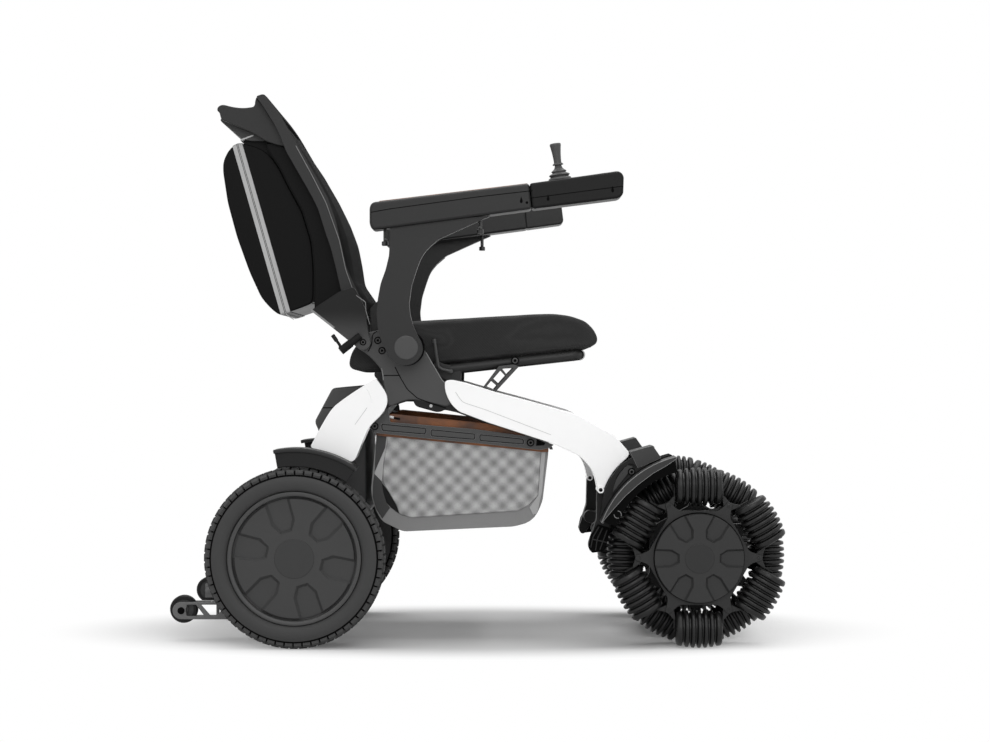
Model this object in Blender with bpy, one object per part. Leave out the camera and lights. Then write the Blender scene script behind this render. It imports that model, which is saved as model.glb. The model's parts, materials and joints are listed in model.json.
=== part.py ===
# All-terrain power wheelchair: two driven rear wheels, two front wheels made of sideways rollers,
# a cast side frame with white arm covers, a seat, a hinged backrest, flip-up armrests and a joystick.
# Metres, +Z up, +X forward, +Y to the sitter's left. The origin is on the ground, below the middle.
import math

import bmesh
import bpy
from mathutils import Matrix, Vector

MM = 0.001
GAP = 0.0003

# Overall layout. Heights are above the ground, and lengths run forward from the rear axle.
WHEELBASE = 0.711
OVERALL_WIDTH = 0.620
REAR_WHEEL_RADIUS = 0.159
FRONT_WHEEL_RADIUS = 0.159
PIVOT_X = 0.196
PIVOT_Z = 0.529

# Rear wheel.
TYRE_WIDTH = 0.060
RIM_RADIUS = 0.118
RIM_WIDTH = 0.045
HUB_CAP_RADIUS = 0.105
MOTOR_RADIUS = 0.085
AXLE_RADIUS = 0.010

# Front wheel: two rows of rollers, the second turned by half a pitch.
ROLLER_COUNT = 6
ROLLER_LENGTH = 0.080
ROLLER_RADIUS = 0.034
ROLLER_ROW_PITCH = 0.062
ROLLER_AXLE_RADIUS = 0.004
STAR_THICKNESS = 0.014
FRONT_CAP_RADIUS = 0.078

# Frame.
WHEEL_CLEARANCE = 0.010
ARM_THICKNESS = 0.040
CASTING_THICKNESS = 0.0195
COVER_WALL = 0.004
FRONT_COVER_DEPTH = 0.0075
REAR_COVER_DEPTH = 0.0175
CROSS_TUBE_RADIUS = 0.016
AXLE_LINK_THICKNESS = 0.026
FENDER_THICKNESS = 0.005
REAR_FENDER_CLEARANCE = 0.030
FRONT_FENDER_CLEARANCE = 0.023
FENDER_SKIRT = 0.026

# Anti-tip wheels behind the rear wheels.
ANTI_TIP_REACH = 0.210
ANTI_TIP_HEIGHT = 0.058
ANTI_TIP_RADIUS = 0.025
ANTI_TIP_WIDTH = 0.020
ANTI_TIP_ARM = 0.010
ANTI_TIP_INSET = 0.0145

# Seat, backrest and armrests.
SEAT_CLEARANCE = 0.0195
SEAT_TUBE_RADIUS = 0.0105
LEVER_RADIUS = 0.003
BRACE_THICKNESS = 0.008
BACK_PIVOT = (-78, 10)
LOBE_THICKNESS = 0.012
LOCK_PIN_RADIUS = 0.0065
BACK_PAD_MARGIN = 0.014
PAD_TRAY_DEPTH = 0.012
BACK_BAG_WIDTH = 0.300
GRIP_SLOT_WIDTH = 0.240
POST_THICKNESS = 0.0205
POST_CLEARANCE = 0.0035
ARMREST_WIDTH = 0.063
ARMREST_OVERHANG = 0.008
ARM_PIN_RADIUS = 0.012

# Battery, storage bag and footplate.
BATTERY_WIDTH = 0.300
BAG_CLEARANCE = 0.028
BAG_WALL = 0.004
RAIL_THICKNESS = 0.010
FOOTPLATE_LENGTH = 0.165
FOOTPLATE_WIDTH = 0.260
FOOTPLATE_THICKNESS = 0.012
HANGER_TRACK = 0.090
HANGER_RADIUS = 0.009
HINGE_PIN_RADIUS = 0.005

# Controller on the right armrest.
JOYSTICK_TILT = 7.8
JOYSTICK_HEIGHT = 0.062
BOOT_RADIUS = 0.0210
BOOT_HEIGHT = 0.0263
GIMBAL_RADIUS = 0.0117
GIMBAL_REACH = 0.54
BALL_SEAT = 0.0083
BUTTON_LENGTH = 0.012
BUTTON_WIDTH = 0.024
BUTTON_HEIGHT = 0.005
BUTTON_PROUD = 0.0015
BUTTON_PITCH = 0.020

# Sideways places, each measured outward from the middle plane and worked out from the sizes above.
HALF_WIDTH = OVERALL_WIDTH / 2
ARM_OUTER = HALF_WIDTH - TYRE_WIDTH - WHEEL_CLEARANCE
ARM_INNER = ARM_OUTER - ARM_THICKNESS
CASTING_OUTER = ARM_OUTER + 0.002
CASTING_INNER = CASTING_OUTER - CASTING_THICKNESS
COVER_INNER = ARM_INNER - GAP
COVER_CAVITY = CASTING_OUTER + GAP
SEAT_HALF_WIDTH = CASTING_INNER - SEAT_CLEARANCE
SEAT_TUBE_TRACK = SEAT_HALF_WIDTH - 0.013
LOBE_INNER = CASTING_OUTER + 0.0005
LOBE_OUTER = LOBE_INNER + LOBE_THICKNESS
LOCK_PIN_TRACK = LOBE_OUTER + GAP + LOCK_PIN_RADIUS
POST_INNER = LOCK_PIN_TRACK + LOCK_PIN_RADIUS + POST_CLEARANCE
POST_OUTER = POST_INNER + POST_THICKNESS
ARMREST_OUTER = POST_OUTER + ARMREST_OVERHANG
ARMREST_INNER = ARMREST_OUTER - ARMREST_WIDTH
OUTER_ROW = HALF_WIDTH - ROLLER_RADIUS
INNER_ROW = OUTER_ROW - ROLLER_ROW_PITCH
FRONT_WHEEL_INNER = INNER_ROW - ROLLER_RADIUS
AXLE_LINK_OUTER = FRONT_WHEEL_INNER - 0.004
AXLE_LINK_INNER = AXLE_LINK_OUTER - AXLE_LINK_THICKNESS
ANTI_TIP_OUTER = ARM_INNER - ANTI_TIP_INSET
ANTI_TIP_INNER = ANTI_TIP_OUTER - ANTI_TIP_WIDTH
LADDER_OUTER = ANTI_TIP_INNER - 0.0005
LADDER_INNER = LADDER_OUTER - ANTI_TIP_ARM
BAG_HALF_WIDTH = ARM_OUTER - BAG_CLEARANCE
RAIL_INNER = BAG_HALF_WIDTH + GAP
RAIL_OUTER = RAIL_INNER + RAIL_THICKNESS

# Anchors in the side view: the outlines below hang on these, so they follow a change of size.
REAR_AXLE = (0.0, REAR_WHEEL_RADIUS)
FRONT_AXLE = (WHEELBASE, FRONT_WHEEL_RADIUS)
FRONT_MARK = (WHEELBASE - FRONT_WHEEL_RADIUS, FRONT_WHEEL_RADIUS)
PIVOT = (PIVOT_X, PIVOT_Z)
ROLLER_AXIS = FRONT_WHEEL_RADIUS - ROLLER_RADIUS
REAR_FENDER_RADIUS = REAR_WHEEL_RADIUS + REAR_FENDER_CLEARANCE + FENDER_THICKNESS
FRONT_FENDER_RADIUS = FRONT_WHEEL_RADIUS + FRONT_FENDER_CLEARANCE + FENDER_THICKNESS
ANTI_TIP_AXLE = (-ANTI_TIP_REACH, ANTI_TIP_HEIGHT)
MIDDLE_X = (WHEELBASE + FRONT_WHEEL_RADIUS - ANTI_TIP_REACH - ANTI_TIP_RADIUS) / 2

WHEEL_FACETS = 32
RIGHT, LEFT = -1, 1
SIDES = (("right", RIGHT), ("left", LEFT))


def near(anchor, points):
    """Side-view points given in millimetres from an anchor."""
    return [(anchor[0] + x * MM, anchor[1] + z * MM) for x, z in points]


def moved(points, along, up):
    return [(x + along, z + up) for x, z in points]


def between(first, second, share):
    """The point at a share of the way from one point to another."""
    return tuple(a + (b - a) * share for a, b in zip(first, second))


def arc(centre, radius, start, end, steps):
    angles = [math.radians(start + (end - start) * i / steps) for i in range(steps + 1)]
    return [(centre[0] + radius * math.cos(a), centre[1] + radius * math.sin(a)) for a in angles]


def link(first, first_radius, second, second_radius, steps=10):
    """Outline of a bar with two round ends, whose straight edges touch both circles."""
    run, rise = second[0] - first[0], second[1] - first[1]
    heading = math.degrees(math.atan2(rise, run))
    lean = math.degrees(math.asin((first_radius - second_radius) / math.hypot(run, rise)))
    quarter = 90 - lean
    return (
        arc(second, second_radius, heading - quarter, heading + quarter, steps)
        + arc(first, first_radius, heading + quarter, heading + 360 - quarter, steps)
    )


def finish(mesh):
    bmesh.ops.remove_doubles(mesh, verts=mesh.verts, dist=1e-6)
    bmesh.ops.recalc_face_normals(mesh, faces=mesh.faces)
    return mesh


def plate(outline, inner, outer, side=LEFT, holes=()):
    """A side-view outline extruded across the chair, from inner to outer."""
    mesh = bmesh.new()
    if not holes:
        faces = [mesh.faces.new([mesh.verts.new((x, side * inner, z)) for x, z in outline])]
    else:
        edges = []
        for loop in (outline, *holes):
            verts = [mesh.verts.new((x, side * inner, z)) for x, z in loop]
            edges += [mesh.edges.new((verts[i - 1], verts[i])) for i in range(len(verts))]
        filled = bmesh.ops.triangle_fill(mesh, edges=edges, use_beauty=True)
        faces = [item for item in filled["geom"] if isinstance(item, bmesh.types.BMFace)]
    grown = bmesh.ops.extrude_face_region(mesh, geom=faces)["geom"]
    verts = [item for item in grown if isinstance(item, bmesh.types.BMVert)]
    bmesh.ops.translate(mesh, verts=verts, vec=(0, side * (outer - inner), 0))
    return finish(mesh)


def flat(outline, low, high):
    """A plan-view outline extruded upward."""
    mesh = bmesh.new()
    face = mesh.faces.new([mesh.verts.new((x, y, low)) for x, y in outline])
    grown = bmesh.ops.extrude_face_region(mesh, geom=[face])["geom"]
    verts = [item for item in grown if isinstance(item, bmesh.types.BMVert)]
    bmesh.ops.translate(mesh, verts=verts, vec=(0, 0, high - low))
    return finish(mesh)


def box(x, y, z):
    """A block between the low and high ends of each axis."""
    mesh = bmesh.new()
    bmesh.ops.create_cube(mesh, size=1)
    size = [high - low for low, high in (x, y, z)]
    middle = [(high + low) / 2 for low, high in (x, y, z)]
    bmesh.ops.scale(mesh, verts=mesh.verts, vec=size)
    bmesh.ops.translate(mesh, verts=mesh.verts, vec=middle)
    return finish(mesh)


def turned(profile, centre, side=LEFT, segments=36):
    """A profile of (radius, outward place) turned about a cross axis through a side-view point."""
    mesh = bmesh.new()
    verts = [mesh.verts.new((radius, side * out, 0)) for radius, out in profile]
    pairs = list(zip(verts, verts[1:]))
    if profile[0][0] > 0:
        pairs.append((verts[-1], verts[0]))
    edges = [mesh.edges.new(pair) for pair in pairs]
    bmesh.ops.spin(mesh, geom=verts + edges, axis=(0, 1, 0), cent=(0, 0, 0),
                   angle=2 * math.pi, steps=segments, use_merge=True)
    bmesh.ops.translate(mesh, verts=mesh.verts, vec=(centre[0], 0, centre[1]))
    return finish(mesh)


def rod(centre, radius, inner, outer, side=LEFT, segments=16):
    """A round bar across the chair."""
    return turned([(0, inner), (radius, inner), (radius, outer), (0, outer)], centre, side, segments)


def arched(section, centre, start, end, side, steps):
    """A section of (radius, outward place) swept round a cross axis between two angles."""
    mesh = bmesh.new()
    angle = math.radians(start)
    verts = [
        mesh.verts.new((radius * math.cos(angle), side * out, radius * math.sin(angle)))
        for radius, out in section
    ]
    face = mesh.faces.new(verts)
    bmesh.ops.spin(mesh, geom=[face], axis=(0, -1, 0), cent=(0, 0, 0),
                   angle=math.radians(end - start), steps=steps)
    bmesh.ops.translate(mesh, verts=mesh.verts, vec=(centre[0], 0, centre[1]))
    return finish(mesh)


def tube(points, radius, sides=10):
    """A round tube with closed ends along three-dimensional points."""
    curve = bpy.data.curves.new("tube", "CURVE")
    curve.dimensions = "3D"
    curve.bevel_depth = radius
    curve.bevel_resolution = sides // 2 - 2
    curve.use_fill_caps = True
    spline = curve.splines.new("POLY")
    spline.points.add(len(points) - 1)
    for point, place in zip(spline.points, points):
        point.co = (*place, 1)
    holder = bpy.data.objects.new("tube", curve)
    bpy.context.scene.collection.objects.link(holder)
    mesh = bmesh.new()
    mesh.from_mesh(bpy.data.meshes.new_from_object(holder))
    bpy.data.objects.remove(holder)
    return finish(mesh)


def stand_in(mesh):
    data = bpy.data.meshes.new("tool")
    mesh.to_mesh(data)
    mesh.free()
    holder = bpy.data.objects.new("tool", data)
    bpy.context.scene.collection.objects.link(holder)
    return holder


def combined(base, tools, operation="UNION"):
    """The base joined with, or cut by, each tool in turn."""
    target = stand_in(base)
    helpers = [stand_in(tool) for tool in tools]
    for helper in helpers:
        modifier = target.modifiers.new("combine", "BOOLEAN")
        modifier.operation = operation
        modifier.solver = "EXACT"
        modifier.object = helper
    bpy.context.view_layer.update()
    graph = bpy.context.evaluated_depsgraph_get()
    result = bmesh.new()
    result.from_mesh(bpy.data.meshes.new_from_object(target.evaluated_get(graph)))
    for holder in (target, *helpers):
        bpy.data.objects.remove(holder)
    return result


def union(base, *tools):
    return combined(base, tools)


def cut(base, *tools):
    return combined(base, tools, "DIFFERENCE")


def pad(stations, width, end_round, flatness=2.6, around=20):
    """A cushion: oval slices between a lower and an upper curve, drawn in at the sides and the ends."""
    mesh = bmesh.new()
    low_end, high_end = stations[0][0][0], stations[-1][0][0]
    length = math.dist(stations[0][0], stations[-1][0])
    rings = []
    travelled = 0.0
    last = stations[0][0]
    for low, high in stations:
        travelled += math.dist(last, low)
        last = low
        inset = max(0.0, end_round - min(travelled, length - travelled))
        half = width / 2 - end_round + math.sqrt(max(0.0, end_round ** 2 - inset ** 2))
        middle = Vector(((low[0] + high[0]) / 2, 0, (low[1] + high[1]) / 2))
        rise = Vector(((high[0] - low[0]) / 2, 0, (high[1] - low[1]) / 2))
        ring = []
        for i in range(around):
            angle = 2 * math.pi * i / around
            across = math.copysign(abs(math.cos(angle)) ** (2 / flatness / 1.6), math.cos(angle))
            up = math.copysign(abs(math.sin(angle)) ** (2 / flatness), math.sin(angle))
            ring.append(mesh.verts.new(middle + rise * up + Vector((0, half * across, 0))))
        rings.append(ring)
    for first, second in zip(rings, rings[1:]):
        for i in range(around):
            mesh.faces.new((first[i - 1], first[i], second[i], second[i - 1]))
    mesh.faces.new(rings[0])
    mesh.faces.new(rings[-1])
    return finish(mesh)


def blended(first, second, count):
    """Pairs of points at equal shares along two curves of the same number of points."""
    pairs = list(zip(first, second))
    slices = []
    for i in range(count):
        place = i / (count - 1) * (len(pairs) - 1)
        index = min(int(place), len(pairs) - 2)
        share = place - index
        slices.append(tuple(between(pairs[index][k], pairs[index + 1][k], share) for k in (0, 1)))
    return slices


def material(name, colour, roughness, metallic=0.0):
    made = bpy.data.materials.new(name)
    made.use_nodes = True
    shader = made.node_tree.nodes["Principled BSDF"]
    shader.inputs["Base Color"].default_value = (*colour, 1)
    shader.inputs["Roughness"].default_value = roughness
    shader.inputs["Metallic"].default_value = metallic
    return made


def place(name, mesh, finish_of, origin=(0, 0, 0), smooth_below=40):
    """Makes the named object, with its own origin, under the chair's frame."""
    bmesh.ops.translate(mesh, verts=mesh.verts, vec=-Vector(origin))
    data = bpy.data.meshes.new(name)
    mesh.to_mesh(data)
    mesh.free()
    data.materials.append(finish_of)
    data.shade_smooth()
    data.set_sharp_from_angle(angle=math.radians(smooth_below))
    piece = bpy.data.objects.new(name, data)
    piece.parent = chair
    piece.location = origin
    bpy.context.scene.collection.objects.link(piece)
    return piece


# Rear wheels.
def rear_tyre(side):
    inner = HALF_WIDTH - TYRE_WIDTH
    middle = HALF_WIDTH - TYRE_WIDTH / 2
    bore = RIM_RADIUS + GAP
    bead = RIM_WIDTH / 2 - 0.001
    crown = REAR_WHEEL_RADIUS
    profile = [
        (bore, middle - bead), (bore + 0.008, inner + 0.002), ((bore + crown) / 2, inner),
        (crown - 0.008, inner + 0.003), (crown, inner + 0.014), (crown, HALF_WIDTH - 0.014),
        (crown - 0.008, HALF_WIDTH - 0.003), ((bore + crown) / 2, HALF_WIDTH),
        (bore + 0.008, HALF_WIDTH - 0.002), (bore, middle + bead),
    ]
    return turned(profile, REAR_AXLE, side, WHEEL_FACETS)


def rear_hub(side):
    middle = HALF_WIDTH - TYRE_WIDTH / 2
    rim_low, rim_high = middle - RIM_WIDTH / 2, middle + RIM_WIDTH / 2
    bore = AXLE_RADIUS + GAP
    ring = RIM_RADIUS - 0.010
    profile = [
        (0, rim_high - 0.003), (0.035, rim_high - 0.003), (HUB_CAP_RADIUS, rim_high - 0.008),
        (ring, rim_high), (RIM_RADIUS, rim_high), (RIM_RADIUS, rim_low), (ring, rim_low),
        (MOTOR_RADIUS, rim_low - 0.004), (MOTOR_RADIUS, ARM_OUTER + 0.006),
        (0.030, ARM_OUTER + 0.006), (0.030, ARM_OUTER + 0.0005), (bore, ARM_OUTER + 0.0005),
        (bore, rim_high - 0.012), (0, rim_high - 0.012),
    ]
    return turned(profile, REAR_AXLE, side, WHEEL_FACETS)


# Front wheels.
def star_outline(turn):
    """Six wedge arms that hold the roller ends, with a straight notch for each roller."""
    half = ROLLER_LENGTH / 2 + GAP
    floor = ROLLER_AXIS - ROLLER_RADIUS - 0.002
    tip = ROLLER_AXIS + 2.4 * ROLLER_AXLE_RADIUS
    points = []
    for number in range(ROLLER_COUNT):
        angle = math.radians(turn + (number + 0.5) * 360 / ROLLER_COUNT)
        along = Vector((math.cos(angle), math.sin(angle)))
        across = Vector((-math.sin(angle), math.cos(angle)))
        for out, over in ((tip, -half), (floor, -half), (floor, half), (tip, half)):
            points.append(tuple(along * out + across * over + Vector(FRONT_AXLE)))
    return points


def roller_frame(side, row, turn, number):
    """Where a roller's axle lies: its middle, and the direction of its axle."""
    angle = math.radians(turn + (number + 0.5) * 360 / ROLLER_COUNT)
    middle = Vector((
        FRONT_AXLE[0] + ROLLER_AXIS * math.cos(angle),
        side * row,
        FRONT_AXLE[1] + ROLLER_AXIS * math.sin(angle),
    ))
    return middle, Vector((-math.sin(angle), 0, math.cos(angle)))


ROWS = (("outer", OUTER_ROW, 0.0), ("inner", INNER_ROW, 180 / ROLLER_COUNT))


def front_hub(side):
    bore = AXLE_RADIUS + GAP
    cap = HALF_WIDTH - 0.012
    drum = [
        (0, cap), (FRONT_CAP_RADIUS - 0.004, cap), (FRONT_CAP_RADIUS, cap - 0.006),
        (FRONT_CAP_RADIUS, FRONT_WHEEL_INNER + 0.004), (bore, FRONT_WHEEL_INNER + 0.004),
        (bore, cap - 0.010), (0, cap - 0.010),
    ]
    body = turned(drum, FRONT_AXLE, side, segments=28)
    half = STAR_THICKNESS / 2
    hole = arc(FRONT_AXLE, 0.030, 0, 330, 11)
    tools = [plate(star_outline(turn), row - half, row + half, side, [hole]) for _, row, turn in ROWS]
    reach = ROLLER_LENGTH / 2 + 0.004
    for _, row, turn in ROWS:
        for number in range(ROLLER_COUNT):
            middle, axle = roller_frame(side, row, turn, number)
            ends = (middle - axle * reach, middle + axle * reach)
            tools.append(tube(ends, ROLLER_AXLE_RADIUS, sides=6))
    return union(body, *tools)


def roller(side, row, turn, number):
    """A barrel whose side follows the wheel's round rim."""
    bore = ROLLER_AXLE_RADIUS + GAP
    half = ROLLER_LENGTH / 2
    profile = [(bore, -half)]
    steps = 4
    for i in range(steps + 1):
        along = half * (2 * i / steps - 1)
        profile.append((math.sqrt(FRONT_WHEEL_RADIUS ** 2 - along ** 2) - ROLLER_AXIS, along))
    profile.append((bore, half))
    mesh = turned(profile, (0, 0), segments=12)
    middle, axle = roller_frame(side, row, turn, number)
    turn_to = Vector((0, 1, 0)).rotation_difference(axle).to_matrix().to_4x4()
    bmesh.ops.transform(mesh, matrix=Matrix.Translation(middle) @ turn_to, verts=mesh.verts)
    return mesh, middle


# Side frame: the cast hub, both arms and the lower bracket in front.
FRONT_COVER_TOP = near(PIVOT, [(71, -55), (97, -60), (137, -72), (159, -79), (209, -92)]) + near(
    FRONT_MARK, [(-54, 252), (-25, 235), (12, 215), (32, 192), (42, 180)])
FRONT_COVER_NOSE = near(FRONT_MARK, [(19, 162), (2, 139), (-6, 120), (-11, 103)])
FRONT_COVER_LOW = near(FRONT_MARK, [(-23, 145), (-34, 162), (-51, 179), (-94, 199)]) + near(
    PIVOT, [(142, -132), (89, -112), (72, -92), (65, -65)])
REAR_COVER_TOP = near(PIVOT, [(-55, -54), (-75, -66), (-94, -78)]) + near(
    REAR_AXLE, [(78, 273), (55, 236)])
REAR_COVER_FRONT = near(REAR_AXLE, [(112, 190), (122, 217), (132, 234)]) + near(
    PIVOT, [(-45, -119), (-36, -104), (-34, -92), (-37, -79), (-51, -59)])
CASTING = near(PIVOT, [
    (-33, -105), (-3, -93), (15, -92), (72, -105), (92, -88), (62, -57), (26, 4), (0, 20),
    (-26, 22), (-42, 34), (-68, 28), (-84, 24), (-92, 12), (-90, 0), (-72, -10), (-51, -31),
    (-43, -47), (-44, -61),
])


ARM_UNDER = moved(FRONT_COVER_LOW[1:6], 0, -0.003)


def arm_outline():
    """Both arms in one outline, drawn in from the covers by their wall and a gap."""
    drop = COVER_WALL + 2 * GAP
    top = moved(FRONT_COVER_TOP[:-1], 0, -drop)
    nose = moved(FRONT_COVER_NOSE[:3], -0.007, 0)
    bracket = near(FRONT_MARK, [
        (-11, 81), (3, 50), (-22, 7), (-31, 7), (-33, 19), (-18, 65), (-17, 111), (-30, 149),
    ])
    tab = near(PIVOT, [(72, -113), (15, -113), (15, -93), (-3, -93), (-33, -105)])
    inner_edge = moved(REAR_COVER_FRONT[3::-1], -0.004, 0.002)
    foot = near(REAR_AXLE, [(95, 150), (50, 60)]) + arc(REAR_AXLE, 0.045, 10, -190, 10)
    outer_edge = near(REAR_AXLE, [(-26, 60), (32, 182)])
    outer_top = moved(REAR_COVER_TOP[::-1], COVER_WALL * 0.9, -COVER_WALL * 0.9)
    return top + nose + bracket + ARM_UNDER + tab + inner_edge + foot + outer_edge + outer_top


def side_frame(side):
    """One side of the frame, with the axle stub, the armrest pin and the front axle link."""
    outline = arm_outline()
    link_root = near(FRONT_MARK, [(-14, 44)])[0]
    shoulder = POST_INNER - GAP
    return (
        plate(CASTING, CASTING_INNER, CASTING_OUTER, side),
        rod(PIVOT, 0.026, CASTING_INNER, shoulder, side, 24),
        rod(PIVOT, ARM_PIN_RADIUS, CASTING_OUTER, POST_INNER + 0.013, side),
        rod(near(PIVOT, [BACK_PIVOT])[0], 0.006, CASTING_INNER, LOBE_OUTER - 0.003, side, 12),
        rod(REAR_AXLE, AXLE_RADIUS, ARM_OUTER - 0.01, HALF_WIDTH - TYRE_WIDTH / 2, side),
        plate(link(link_root, 0.012, FRONT_AXLE, 0.024), AXLE_LINK_INNER, AXLE_LINK_OUTER, side),
        rod(link_root, 0.0105, AXLE_LINK_INNER + 0.002, ARM_INNER + 0.01, side),
        rod(FRONT_AXLE, AXLE_RADIUS, AXLE_LINK_INNER + 0.002, OUTER_ROW, side),
    ), plate(outline, ARM_INNER, ARM_OUTER, side)


FRONT_BEAM = near(FRONT_MARK, [(-2, 176)])[0]
FOOT_HINGE = near(FRONT_AXLE, [(-86, -61)])[0]
KNUCKLE_HALF = HANGER_RADIUS + 0.002


def chassis_frame():
    """Both side frames, the beams between them, the battery tray and the footplate hangers."""
    right_tools, body = side_frame(RIGHT)
    left_tools, left_arm = side_frame(LEFT)
    reach = ARM_INNER + 0.004
    beams = [
        rod(FRONT_BEAM, CROSS_TUBE_RADIUS, -reach, reach),
        plate(near(PIVOT, [(-30, -96), (56, -96), (56, -68), (-30, -68)]), -reach, reach),
        plate(near(REAR_AXLE, [(8, 42), (112, 42), (112, 56), (8, 56)]), -reach, reach),
    ]
    knee = near(FRONT_MARK, [(20, 91), (38, -39)])
    for side in (RIGHT, LEFT):
        across = side * HANGER_TRACK
        path = [(x, across, z) for x, z in (FRONT_BEAM, *knee, FOOT_HINGE)]
        beams.append(tube(path, HANGER_RADIUS))
        beams.append(rod(FOOT_HINGE, HANGER_RADIUS + 0.001, HANGER_TRACK - KNUCKLE_HALF,
                         HANGER_TRACK + KNUCKLE_HALF, side))
    beams.append(rod(FOOT_HINGE, HINGE_PIN_RADIUS, -HANGER_TRACK, HANGER_TRACK))
    return union(body, left_arm, *right_tools, *left_tools, *beams)


# Covers and fenders.
def front_cover(side):
    shell = plate(FRONT_COVER_TOP + FRONT_COVER_NOSE + FRONT_COVER_LOW,
                  COVER_INNER - COVER_WALL, COVER_CAVITY + FRONT_COVER_DEPTH, side)
    roof = moved(FRONT_COVER_TOP, 0, -COVER_WALL)
    roof[0] = (roof[0][0] - 0.030, roof[0][1] + 0.006)
    roof[-1] = (roof[-1][0] + 0.010, roof[-1][1] - 0.008)
    sill = moved(roof[::-1], 0, -0.140)
    beam_hole = rod(FRONT_BEAM, CROSS_TUBE_RADIUS + GAP, COVER_INNER - 0.01, COVER_INNER + 0.001, side)
    return cut(shell, plate(roof + sill, COVER_INNER, COVER_CAVITY, side), beam_hole)


def rear_cover(side):
    lip = arc(REAR_AXLE, REAR_FENDER_RADIUS + GAP, 80.6, 58.4, 5)
    shell = plate(REAR_COVER_TOP + lip + REAR_COVER_FRONT,
                  COVER_INNER - COVER_WALL, COVER_CAVITY + REAR_COVER_DEPTH, side)
    roof = moved(REAR_COVER_TOP, COVER_WALL * 0.8, -COVER_WALL * 0.6)
    roof[0] = (roof[0][0] + 0.030, roof[0][1] + 0.016)
    last = roof[-1]
    roof.append((last[0] - 0.040, last[1] - 0.072))
    return cut(shell, plate(roof + moved(roof[::-1], 0.150, -0.110), COVER_INNER, COVER_CAVITY, side))


def rear_fender(side):
    outer = HALF_WIDTH - 0.006
    top = REAR_FENDER_RADIUS
    section = [
        (top - FENDER_THICKNESS, ARM_OUTER + GAP), (top, ARM_OUTER + GAP), (top, outer),
        (top - FENDER_SKIRT, outer), (top - FENDER_SKIRT, outer - FENDER_THICKNESS),
        (top - FENDER_THICKNESS, outer - FENDER_THICKNESS),
    ]
    return arched(section, REAR_AXLE, 55, 101, side, 12)


def front_fender(side):
    outer = HALF_WIDTH - 0.006
    top = FRONT_FENDER_RADIUS
    low = top - FENDER_THICKNESS
    inner = ARM_OUTER + GAP
    section = [
        (low, inner), (top, inner), (top, outer), (low - FENDER_SKIRT + 0.008, outer),
        (low - FENDER_SKIRT + 0.008, outer - FENDER_THICKNESS), (low, outer - FENDER_THICKNESS),
    ]
    guard = arched(section, FRONT_AXLE, 104, 160, side, 14)
    wide = [(low, FRONT_WHEEL_INNER), (top, FRONT_WHEEL_INNER), (top, inner + 0.01), (low, inner + 0.01)]
    inside = arched(wide, FRONT_AXLE, 104, 148, side, 11)
    edge = moved(FRONT_COVER_NOSE, 0.0015, 0) + near(FRONT_MARK, [(-12, 75)])
    bracket = plate(edge + arc(FRONT_AXLE, top - 0.002, 158, 118, 8)
                    + moved(FRONT_COVER_TOP[-1:], 0.0015, -0.003), inner, inner + 0.022, side)
    cap = near(FRONT_MARK, [(44, 183), (80, 194), (95, 175), (56, 153)])
    return union(guard, inside, bracket, plate(cap, ARM_INNER + 0.005, inner + 0.022, side))


# Anti-tip wheels and their ladder-shaped arms.
def anti_tip_frame():
    inner, outer = LADDER_INNER, LADDER_OUTER
    root = near(REAR_AXLE, [(20, -38)])[0]
    low, high = ANTI_TIP_AXLE[1] - 0.018, ANTI_TIP_AXLE[1] + 0.015
    back = ANTI_TIP_AXLE[0]
    outline = [(back - 0.006, low + 0.004), (0.030, low), (0.042, root[1]), (0.020, root[1] + 0.016),
               (0.0, root[1] + 0.008), (-0.010, high), (back - 0.006, high - 0.002)]
    bays = 4
    pitch = (0.0 - back - 0.020) / bays
    holes = []
    for number in range(bays):
        start = back + 0.014 + number * pitch
        holes.append([(start, low + 0.006), (start + pitch - 0.006, low + 0.006),
                      (start + pitch - 0.006, high - 0.006), (start, high - 0.006)])
    tools = [rod((-0.002, low + 0.012), 0.008, -outer + 0.002, outer - 0.002)]
    for _, side in SIDES:
        tools.append(rod(root, 0.012, inner + 0.002, ARM_INNER - GAP, side))
        tools.append(rod(ANTI_TIP_AXLE, 0.005, inner + 0.002, ANTI_TIP_OUTER - 0.0015, side, 12))
    tools.append(plate(outline, inner, outer, LEFT, holes))
    return union(plate(outline, inner, outer, RIGHT, holes), *tools)


def anti_tip_wheel(side):
    low, high = ANTI_TIP_INNER, ANTI_TIP_OUTER
    bore = 0.005 + GAP
    profile = [
        (bore, low), (ANTI_TIP_RADIUS - 0.003, low), (ANTI_TIP_RADIUS, low + 0.004),
        (ANTI_TIP_RADIUS, high - 0.004), (ANTI_TIP_RADIUS - 0.003, high), (bore, high),
    ]
    return turned(profile, ANTI_TIP_AXLE, side, 24)


# Battery box and storage bag.
def battery_box():
    outline = near(REAR_AXLE, [
        (23, 236), (56, 298), (113, 303), (118, 296), (118, 66), (108, 56.5), (45, 56.5),
        (31, 80), (31, 221),
    ])
    return plate(outline, -BATTERY_WIDTH / 2, BATTERY_WIDTH / 2)


BAG_BACK = near(
    PIVOT, [(-49, -125.5), (-56, -134), (-57, -158), (-67, -258), (-61, -284), (-48, -310), (-9, -329)]
)
BAG_FRONT = near(FRONT_MARK, [(-164, 50), (-131, 60), (-115, 93), (-104, 184), (-104, 197)])
BAG_TOP = near(PIVOT, [(166, -144)])


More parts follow.
